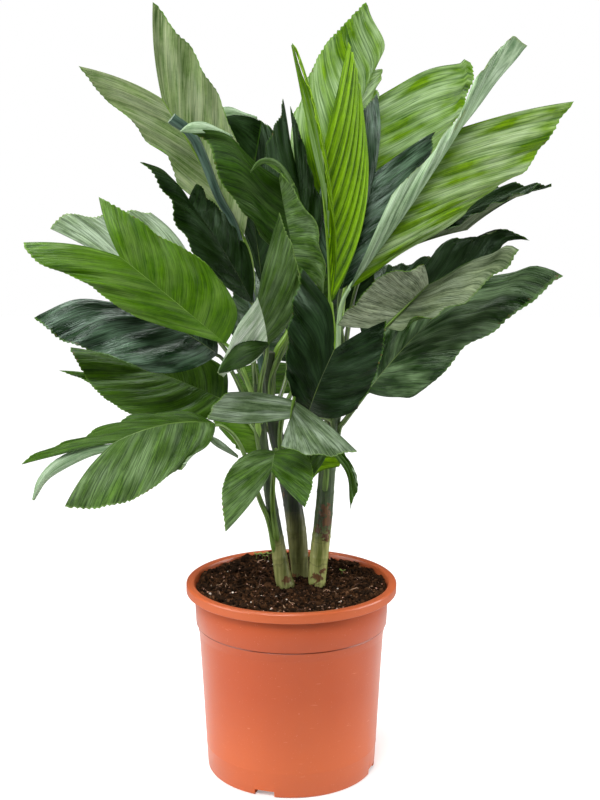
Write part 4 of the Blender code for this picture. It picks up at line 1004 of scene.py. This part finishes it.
def turned(points, draw):
    """Points turned at random about two axes."""
    a, b = draw.uniform(*ANY_ANGLE), draw.uniform(*ANY_ANGLE)
    about_z = np.array([[math.cos(a), -math.sin(a), 0], [math.sin(a), math.cos(a), 0], [0, 0, 1]])
    about_x = np.array([[1, 0, 0], [0, math.cos(b), -math.sin(b)], [0, math.sin(b), math.cos(b)]])
    return points @ about_x.T @ about_z.T


def free_spot(draw, canes, reach):
    """A random place on the soil, clear of the canes."""
    while True:
        radius, angle = reach * draw.random() ** 0.5, draw.uniform(0, TURN)
        x, y = radius * math.cos(angle), radius * math.sin(angle)
        if all(math.hypot(x - cx, y - cy) > CANE_CLEARANCE for cx, cy in canes):
            return x, y


def scatter(form, draw, canes, count, sizes, slots, squash=(0.6, 1.0)):
    """Rough little lumps, sunk a little into the soil."""
    for _ in range(count):
        size = draw.uniform(*sizes) * draw.uniform(0.6, 1.0)
        x, y = free_spot(draw, canes, SOIL_RADIUS - 3 * MM)
        shape = LUMP_POINTS * np.array([[draw.uniform(0.75, 1.3)] for _ in LUMP_POINTS])
        shape = turned(shape * (1, draw.uniform(*squash), draw.uniform(*squash)), draw) * size
        height = soil_height(x, y) + size * draw.uniform(-0.1, 0.55)
        form.add(shape + (x, y, height), LUMP_FACES, draw.choice(slots))


def scatter_fibres(form, draw, canes):
    """Thin bent threads lying on the soil."""
    for _ in range(FIBRE_COUNT):
        x, y = free_spot(draw, canes, SOIL_RADIUS - 8 * MM)
        heading, length = draw.uniform(*ANY_ANGLE), draw.uniform(4, 13) * MM
        rise, bend = draw.uniform(-0.1, 0.35), draw.uniform(-0.8, 0.8)
        path = []
        for t in np.linspace(0, 1, FIBRE_STEPS):
            px, py, _ = (x, y, 0) + round_point(length * t, heading + bend * t)
            lift = rise * length * math.sin(math.pi * t) * 0.5
            path.append((px, py, soil_height(px, py) + 0.8 * MM + lift))
        thin = draw.uniform(0.2, 0.55) * MM
        if max(math.hypot(p[0], p[1]) for p in path) < NECK_RADIUS - 4 * MM:
            form.add(*tube(path, [thin] * FIBRE_STEPS, 5)[:2], slot=draw.choice((0, 0, 1)))


def make_soil_bits(routes):
    """Crumbs, perlite and grit, and fibres. Each call lists the finish numbers it draws from, the
    common ones more than once."""
    draw = random.Random(5)
    canes = [tuple(float(np.interp(SOIL_TOP, path[:, 2], path[:, k])) for k in (0, 1))
             for path, _ in routes.values()]
    crumbs, perlite, fibres = Form(), Form(), Form()
    scatter(crumbs, draw, canes, CRUMB_COUNT, CRUMB_SIZES, (0, 0, 1, 2))
    scatter(crumbs, draw, canes, CRUMB_COUNT // 5, CLOD_SIZES, (0, 0, 1))
    scatter(perlite, draw, canes, PERLITE_COUNT, PERLITE_SIZES, (0, 1, 1, 1), (0.7, 1.0))
    scatter_fibres(fibres, draw, canes)
    browns = [soil_material("crumb dark", (14, 8, 3), (52, 34, 20)),
              soil_material("crumb brown", (32, 20, 10), (84, 56, 35)),
              soil_material("crumb light", (62, 41, 26), (122, 86, 60))]
    whites = [plain_material("perlite", (226, 212, 196), 0.8),
              plain_material("grit", (206, 156, 134), 0.7)]
    tans = [plain_material("bark fibre", (86, 58, 42), 0.8),
            plain_material("pale fibre", (166, 132, 104), 0.8)]
    hand_over(crumbs.piece("soil_crumbs", browns, LUMP_SHARP), "soil")
    hand_over(perlite.piece("soil_perlite", whites, LUMP_SHARP), "soil")
    hand_over(fibres.piece("soil_fibres", tans, FIBRE_SHARP), "soil")


def make_sprouts():
    """Tiny weeds: a thread of a stem with a few oval leaves."""
    draw = random.Random(9)
    form = Form()
    for x, y in SPROUTS:
        foot = np.array([x * MM, y * MM, soil_height(x * MM, y * MM)])
        top = foot + (0, 0, draw.uniform(4, 7) * MM)
        form.add(*tube([foot - (0, 0, 1 * MM), top], (0.25 * MM, 0.2 * MM), 5)[:2])
        for k in range(SPROUT_LEAVES):
            angle = draw.uniform(0, 0.6) + k * 2.1
            out = round_point(1, angle, 0.35)
            side = round_point(1, angle + TURN / 4)
            size = draw.uniform(1.8, 2.8) * MM
            centre = top + out * size * 0.9
            leaf = [centre + out * size * math.cos(TURN * n / SPROUT_EDGE)
                    + side * size * 0.6 * math.sin(TURN * n / SPROUT_EDGE) for n in range(SPROUT_EDGE)]
            leaf += [centre + (0, 0, 0.3 * MM), centre - (0, 0, 0.1 * MM)]
            faces = []
            for n in range(SPROUT_EDGE):
                following = (n + 1) % SPROUT_EDGE
                faces += [(n, following, SPROUT_EDGE), (following, n, SPROUT_EDGE + 1)]
            form.add(leaf, faces)
    material = plain_material("sprout", (122, 146, 66), 0.6)
    hand_over(form.piece("soil_sprouts", [material], PLANT_SHARP), "soil")


# Canes and stalks

def smooth_path(points, steps):
    """Points along a Catmull-Rom curve through the given ones; any number of columns."""
    knots = np.array(points, float)
    knots = np.vstack([2 * knots[0] - knots[1], knots, 2 * knots[-1] - knots[-2]])
    spans = len(knots) - 3
    result = []
    for place in np.linspace(0, spans, steps + 1):
        k = min(int(place), spans - 1)
        t = place - k
        a, b, c, d = knots[k:k + 4]
        result.append(0.5 * (2 * b + (c - a) * t + (2 * a - 5 * b + 4 * c - d) * t ** 2
                             + (3 * b - a - 3 * c + d) * t ** 3))
    return np.array(result)


def cane_routes():
    """Path and radii of each cane as its solid has them."""
    routes = {}
    for side, knots in CANES.items():
        smooth = smooth_path(knots, CANE_STEPS) * MM
        routes[side] = (smooth[:, :3], smooth[:, 3].copy())
    return routes


def make_cane(side, route):
    """A cane with narrow ring scars at uneven heights."""
    draw = random.Random("cane " + side)
    path, radii = route
    lengths = np.linspace(0, 1, len(path))
    fine = np.linspace(0, 1, CANE_ROWS)
    centre = np.stack([np.interp(fine, lengths, path[:, k]) for k in range(3)], axis=1)
    heights = centre[:, 2]
    ring_heights = [FIRST_RING]
    while ring_heights[-1] < LAST_RING:
        ring_heights.append(ring_heights[-1] + RING_SPACING * draw.uniform(0.7, 1.3))
    ring_number = np.interp(heights, ring_heights, np.arange(len(ring_heights)))
    beside_ring = np.abs((ring_number + 0.5) % 1 - 0.5)
    radius = np.interp(fine, lengths, radii) + RING_SWELL * np.exp(-(beside_ring / RING_WIDTH) ** 2)
    vertices, faces, veins = tube(centre, radius, CANE_SIDES)
    veins = np.array(veins)
    veins[:, 1] = np.repeat(ring_number, CANE_SIDES)
    rough = []
    for v in vertices:
        bump = noise.fractal(Vector(v * (180, 180, 60)), 0.8, 2.0, 3)
        out = unit(v - centre[np.argmin(np.abs(heights - v[2]))])
        rough.append(v + out * bump * CANE_ROUGHNESS)
    form = Form()
    form.add(rough, faces, 0, veins)
    piece = form.piece("stem_" + side, [cane_material("cane " + side, *CANE_LOOKS[side])], PLANT_SHARP)
    hand_over(piece, "cane", "cane_" + side)


def place_on_cane(route, height):
    """Point of the cane's centre line at a height, its direction and its radius there."""
    path, radii = route
    here, above = (np.array([np.interp(h, path[:, 2], path[:, k]) for k in range(3)])
                   for h in (height, height + LOOK_AHEAD))
    return here, unit(above - here + np.array([0, 0, 0.1 * MM])), float(np.interp(height, path[:, 2], radii))


def bowed(start, end, steps, push):
    """Points from start to end, pushed aside by a parabola."""
    t = np.linspace(0, 1, steps + 1)[:, None]
    return (1 - t) * start + t * end + 4 * t * (1 - t) * push


def bezier(start, first, second, end, steps):
    t = np.linspace(0, 1, steps + 1)[:, None]
    return ((1 - t) ** 3 * start + 3 * (1 - t) ** 2 * t * first
            + 3 * (1 - t) * t ** 2 * second + t ** 3 * end)


def away_from(vector, inner):
    return -vector if vector @ inner > 0 else vector


def stalk_path(leaves_at, route, base, along):
    """Centre line of a leaf stalk: a sheath up the side of the cane, then the arc out to the blade."""
    exit_point, upward, _ = place_on_cane(route, leaves_at * MM)
    reach = np.linalg.norm(base - exit_point)
    aside = unit((base - exit_point) * (1, 1, 0))
    arc = bezier(exit_point, exit_point + (upward * 0.85 + aside * 0.5) * reach * 0.38,
                 base - along * reach * 0.3, base, STALK_STEPS)
    sheath = []
    for below, share in ((1, 0.35), (0.6, 0.62), (0.25, 0.8), (0, 0.9)):
        low, _, radius = place_on_cane(route, leaves_at * MM - SHEATH_DEPTH * below)
        sheath.append(low + aside * radius * share)
    clear = [p for p in arc
             if np.linalg.norm((p - exit_point)[:2]) > radius * 1.15
             or p[2] > exit_point[2] + STALK_CLEARS]
    return smooth_path(sheath + clear[::3] + [arc[-1]], 2 * STALK_STEPS)


# Fronds

def turning(first, second, inward):
    """Angle by which second turns away from first, positive towards inward."""
    inward = unit(inward - unit(first) * (inward @ unit(first)))
    return math.atan2(second @ inward, second @ unit(first))


def bent(line, outward, bends):
    """Push stretches of an edge outwards; its two ends stay where they are."""
    t = np.linspace(0, 1, len(line))
    ends = smooth_step(0.0, EDGE_START, t) * (1 - smooth_step(EDGE_END, 1.0, t))
    for centre, width, out in bends:
        bump = np.exp(-((t - centre) / width) ** 2) * ends
        line = line + bump[:, None] * outward * out * MM
    return line


def half_blade(base, fork, midrib, shape, side, rows):
    """Grid of one lobe: rows run from the base to the notch, columns from midrib to margin."""
    tip, shoulder = point(shape["tip"]), point(shape["shoulder"])
    normal = unit(np.cross(shoulder - fork, tip - base)) * side
    at_shoulder = CORNER_SHARE * turning(shoulder - base, tip - shoulder, fork - shoulder)
    at_fork = CORNER_SHARE * turning(fork - base, tip - fork, shoulder - fork)
    swell, heel, arch = shape["swell"], shape["heel"], shape["arch"]
    if swell + heel > at_shoulder:
        ease = max(0.0, at_shoulder) / (swell + heel)
        swell, heel = swell * ease, heel * ease
    notch = min(shape["notch"], max(0.0, at_fork))

    def edge(start, end, inner, steps, push, rise, bends):
        outward = away_from(unit(np.cross(end - start, normal)), inner - start)
        length = np.linalg.norm(end - start)
        return bent(bowed(start, end, steps, length * (outward * push + normal * rise)), outward, bends)

    margin = edge(shoulder, tip, fork, rows, swell, arch * 0.6, shape["margin_bends"])
    foot = edge(base, shoulder, fork, COLUMNS, heel, arch, shape["foot_bends"])
    notched = edge(fork, tip, shoulder, COLUMNS, notch, arch, shape["notch_bends"])
    s = np.linspace(0, 1, rows + 1)[:, None, None]
    w = np.linspace(0, 1, COLUMNS + 1)[None, :, None]
    corners = (1 - s) * (1 - w) * base + (1 - s) * w * shoulder + s * (1 - w) * fork + s * w * tip
    between = (1 - w) * midrib[:, None] + w * margin[:, None]
    return between + (1 - s) * foot[None] + s * notched[None] - corners


def lobe_normals(grid, side):
    return units(np.cross(np.gradient(grid, axis=1), np.gradient(grid, axis=0))) * side


def dress_lobe(grid, side, veins, share, draw, style):
    """Pleats, gentle waves and teeth on the plain grid of a lobe."""
    pleat_style, wave_style, ripple_style = style
    rows = grid.shape[0] - 1
    s = np.linspace(0, 1, rows + 1)[:, None]
    w = np.linspace(0, 1, COLUMNS + 1)[None, :]
    normals = lobe_normals(grid, side)
    pleats = (np.abs(np.sin(math.pi * veins * s)) - 0.6) * PLEAT_DEPTH * share * pleat_style
    pleats = pleats * smooth_step(0.0, 0.3, w) * (1 - 0.35 * w)
    wave = np.zeros_like(pleats)
    for _ in range(WAVE_COUNT):
        along, across, phase = (draw.uniform(*ends) for ends in (WAVES_ALONG, WAVES_ACROSS, ANY_ANGLE))
        wave = wave + np.sin(TURN * (along * s + across * w) + phase)
    wave = wave * WAVE_DEPTH * share * wave_style * smooth_step(0.0, 0.5, w) * 0.45
    ripple = np.zeros_like(pleats)
    for _ in range(RIPPLE_COUNT):
        ripple = ripple + np.sin(TURN * draw.uniform(*RIPPLES_ALONG) * s + draw.uniform(*ANY_ANGLE))
    ripple = ripple * RIPPLE_DEPTH * share * ripple_style * smooth_step(0.5, 1.0, w)
    grid = grid + normals * (pleats + wave + ripple)[..., None]
    tooth_rows = ROWS_PER_VEIN // TEETH_PER_VEIN
    depths = [draw.uniform(*TOOTH_SHARES) for _ in range(rows // tooth_rows + 2)]
    tooth = np.array([-(i % tooth_rows) / tooth_rows * depths[i // tooth_rows] for i in range(rows + 1)])
    tooth *= TOOTH_LENGTH * share * smooth_step(0.0, 0.08, s[:, 0]) * (1 - smooth_step(0.93, 1.0, s[:, 0]))
    outward = units(grid[:, -1] - grid[:, -2])
    grid[:, -1] += outward * tooth[:, None]
    grid[:, -2] += outward * tooth[:, None] * 0.3
    return grid


def add_lobe(form, grid, side, veins, offset, slots):
    """Close a lobe's sheet with its thickness; slots are the materials of its upper and lower face."""
    rows, columns = grid.shape[0] - 1, grid.shape[1] - 1
    half = lobe_normals(grid, side) * LEAF_THICKNESS / 2
    index = np.arange((rows + 1) * (columns + 1)).reshape(rows + 1, columns + 1)
    a, b, c, d = index[:-1, :-1], index[:-1, 1:], index[1:, 1:], index[1:, :-1]
    quads = np.stack([a, b, c, d], axis=-1).reshape(-1, 4)
    if side < 0:
        quads = quads[:, ::-1]
    s, w = np.meshgrid(np.linspace(0, 1, rows + 1), np.linspace(0, 1, columns + 1), indexing="ij")
    coordinates = np.stack([s * veins + offset, w], axis=-1).reshape(-1, 2)
    both = np.concatenate([(grid + half).reshape(-1, 3), (grid - half).reshape(-1, 3)])
    top = form.count
    under = top + index.size
    form.add(both, quads, slots[0], np.concatenate([coordinates, coordinates]))
    form.join([[under + int(i) for i in face[::-1]] for face in quads], slots[1])
    border = [*index[0], *index[1:, -1], *index[-1, -2::-1], *index[-2:0:-1, 0]]
    rim = []
    for k, here in enumerate(border):
        p, q = int(here), int(border[(k + 1) % len(border)])
        face = [under + p, under + q, top + q, top + p]
        rim.append(face if side > 0 else face[::-1])
    form.join(rim, slots[0])


def make_frond(name, shape, route, looks):
    """Both lobes, and the stalk that runs on as the midrib."""
    solid = "frond_" + name
    draw = random.Random(solid)
    base, fork = point(shape["base"]), point(shape["fork"])
    lobes = (shape["left"], shape["right"])
    left_shoulder, right_shoulder = (point(lobe["shoulder"]) for lobe in lobes)
    reach = max(np.linalg.norm(point(lobe["tip"]) - base) for lobe in lobes)
    share = min(1.0, max(SMALLEST_SHARE, reach / FULL_SIZE))
    veins = max(FEWEST_VEINS, round(FULL_VEINS * share))
    rows = veins * ROWS_PER_VEIN
    normal = unit(np.cross(right_shoulder - left_shoulder, fork - base))
    midrib = bowed(base, fork, rows, normal * shape["bow"] * np.linalg.norm(fork - base))
    form = Form()
    facing = []
    for half, side, offset, slots in zip(lobes, (-1, 1), (LEFT_VEINS_START, 0), ((0, 1), (3, 4))):
        grid = half_blade(base, fork, midrib, half, side, rows)
        grid = dress_lobe(grid, side, veins, share, draw, STYLES.get(name, PLAIN_STYLE))
        facing.append(lobe_normals(grid, side)[:, 0])
        add_lobe(form, grid, side, veins, offset, slots)
    stalk = stalk_path(shape["leaves_at"], route, base, unit(midrib[1] - base))[:-2]
    stalk_radii = np.interp(np.linspace(0, 1, len(stalk)), (0, 0.12, 0.3, 1),
                            (STALK_START_RADIUS, STALK_FOOT_RADIUS, STALK_FOOT_RADIUS * 0.8, RIB_FOOT_RADIUS))
    rib_radii = np.linspace(RIB_FOOT_RADIUS, RIB_TIP_RADIUS, rows + 1)
    rib = midrib - units(facing[0] + facing[1]) * (rib_radii - RIB_PROUD)[:, None]
    path = np.concatenate([stalk, rib[::RIB_EVERY]])
    radii = np.concatenate([stalk_radii, rib_radii[::RIB_EVERY]])
    vertices, faces, coordinates = tube(path, radii, STALK_SIDES)
    form.add(vertices, faces, 2, coordinates)
    tones = FACES[name].split()
    names = (tones[0], tones[1], "stalk " + STALK_TONES.get(name, tones[0]), tones[-2], tones[-1])
    piece = form.piece("leaf_" + name, [looks[look] for look in names], PLANT_SHARP)
    hand_over(piece, slot_of(solid), solid)


def make_curled_end(name, looks):
    """A narrow bulging sheet between two edges, toothed along its first one."""
    draw = random.Random("curl " + name)
    *edges, bulge, look, neighbour = CURLED_ENDS[name]
    first, second = (smooth_path(edge, CURL_ROWS)[:, None] * MM for edge in edges)
    w = np.linspace(0, 1, CURL_COLUMNS + 1)[None, :, None]
    grid = second * (1 - w) + first * w
    normals = lobe_normals(grid, 1)
    towards = np.sign(-(normals[CURL_ROWS // 2, CURL_COLUMNS // 2, 1]))
    grid = grid + normals * towards * 4 * w * (1 - w) * bulge * MM
    tooth = np.array([-(i % CURL_TOOTH_ROWS) / CURL_TOOTH_ROWS * draw.uniform(*CURL_TOOTH_SHARES)
                      for i in range(CURL_ROWS + 1)])
    grid[:, -1] += units(grid[:, -1] - grid[:, -2]) * tooth[:, None] * MM
    form = Form()
    add_lobe(form, grid.transpose(1, 0, 2), 1, CURL_VEINS, 0, (0, 0))
    hand_over(form.piece("curl_" + name, [looks[look]], PLANT_SHARP), slot_of("frond_" + neighbour))


def make_cut_stalk(route):
    """A stalk whose blade was cut off, with the hollow at its cut end."""
    exit_point = place_on_cane(route, CUT_STALK["leaves_at"] * MM)[0]
    knots = [(*(exit_point / MM), CUT_STALK["route"][0][3]), *CUT_STALK["route"]]
    smooth = smooth_path(knots, CUT_STEPS) * MM
    path, radii = smooth[:, :3], smooth[:, 3]
    axis = unit(path[-1] - path[-2])
    inside = [path[-1] + axis * out for out in (CUT_END_PROUD, -CUT_END_DEPTH / 2, -CUT_END_DEPTH)]
    outer, outer_faces, outer_veins = tube(path, radii, CUT_SIDES)
    bore = np.array(BORE_TAPER) * radii[-1] * CUT_BORE_SHARE
    inner, inner_faces, inner_veins = tube(inside, bore, CUT_SIDES)
    form = Form()
    form.add(outer, outer_faces[:-1], 0, outer_veins)
    form.add(inner, [face[::-1] for face in inner_faces[1:]], 1, inner_veins)
    end_ring = len(outer) - CUT_SIDES
    nearest = int(np.argmin(np.linalg.norm(np.array(outer[end_ring:]) - inner[0], axis=1)))
    cut = []
    for k in range(CUT_SIDES):
        p, q = (end_ring + (nearest - n) % CUT_SIDES for n in (k, k + 1))
        cut.append([q, p, len(outer) + k, len(outer) + (k + 1) % CUT_SIDES])
    form.join(cut, 1)
    materials = [stalk_material("cut stalk", linear(34, 58, 48), linear(86, 114, 98)),
                 plain_material("cut end", (150, 168, 150), 0.7)]
    hand_over(form.piece("stalk_cut", materials, 50), "stalk", "cut_stalk_tall")


# Studio

def make_floor():
    """A white floor that glows a little more the further it is from the pot, so it has no edge."""
    material, tree = start_material("studio white", 0.9, 0.2)
    place = object_place(tree)
    distance = node(tree, "VectorMath", {0: place}, operation="LENGTH").outputs["Value"]
    white = patches(tree, place, 0.0, 1.0, 0.86, 0.88, 40.0)
    white = times(tree, white, spread(tree, distance, 0.3, 0.65, 1.0, 0.25))
    seen = node(tree, "LightPath").outputs["Is Camera Ray"]
    glow = times(tree, seen, spread(tree, distance, 0.12, 0.7, 0.3, 1.0))
    shader_of(material).inputs["Emission Color"].default_value = (1, 1, 1, 1)
    tree.links.new(glow, shader_of(material).inputs["Emission Strength"])
    finish_material(material, white)
    form = Form()
    corners = [(x * FLOOR_REACH, y * FLOOR_REACH, 0) for x, y in ((-1, -1), (1, -1), (1, 1), (-1, 1))]
    form.add(corners, [(0, 1, 2, 3)])
    floor = form.piece("studio_floor", [material])
    floor.location.z = -FLOOR_DROP


def make_light(name, place, size, power):
    data = bpy.data.lights.new(name, "AREA")
    data.shape = "RECTANGLE"
    data.size, data.size_y = size
    data.energy = power
    light = shown(name, data)
    light.location = place
    light.rotation_euler = (Vector(LIT_POINT) - Vector(place)).to_track_quat("-Z", "Y").to_euler()


def make_world():
    """White where the camera looks past the floor, and a faint light on the plant."""
    world = bpy.data.worlds.new("studio")
    bpy.context.scene.world = world
    world.use_nodes = True
    tree = world.node_tree
    tree.nodes.clear()
    seen = node(tree, "LightPath").outputs["Is Camera Ray"]
    strength = spread(tree, seen, 0.0, 1.0, AMBIENT, 1.0)
    background = node(tree, "Background", {"Color": (1, 1, 1, 1), "Strength": strength})
    tree.links.new(background.outputs[0], node(tree, "OutputWorld").inputs[0])


def make_camera():
    data = bpy.data.cameras.new("camera")
    data.lens = LENS
    data.sensor_width = SENSOR_WIDTH
    data.shift_x = SHIFT
    camera = shown("camera", data)
    camera.location = CAMERA_PLACE
    camera.rotation_euler = (math.radians(90 - CAMERA_DIP), 0, 0)
    bpy.context.scene.camera = camera


def main():
    looks = leaf_looks()
    routes = cane_routes()
    make_pot()
    make_soil()
    make_soil_bits(routes)
    make_sprouts()
    for side, route in routes.items():
        make_cane(side, route)
    for name, shape in FRONDS.items():
        make_frond(name, shape, routes[shape["cane"]], looks)
    for name in CURLED_ENDS:
        make_curled_end(name, looks)
    make_cut_stalk(routes[CUT_STALK["cane"]])
    make_floor()
    for name, (place, size, power) in LIGHTS.items():
        make_light(name, place, size, power)
    make_world()
    make_camera()
    bpy.context.scene.view_settings.view_transform = "Standard"


main()
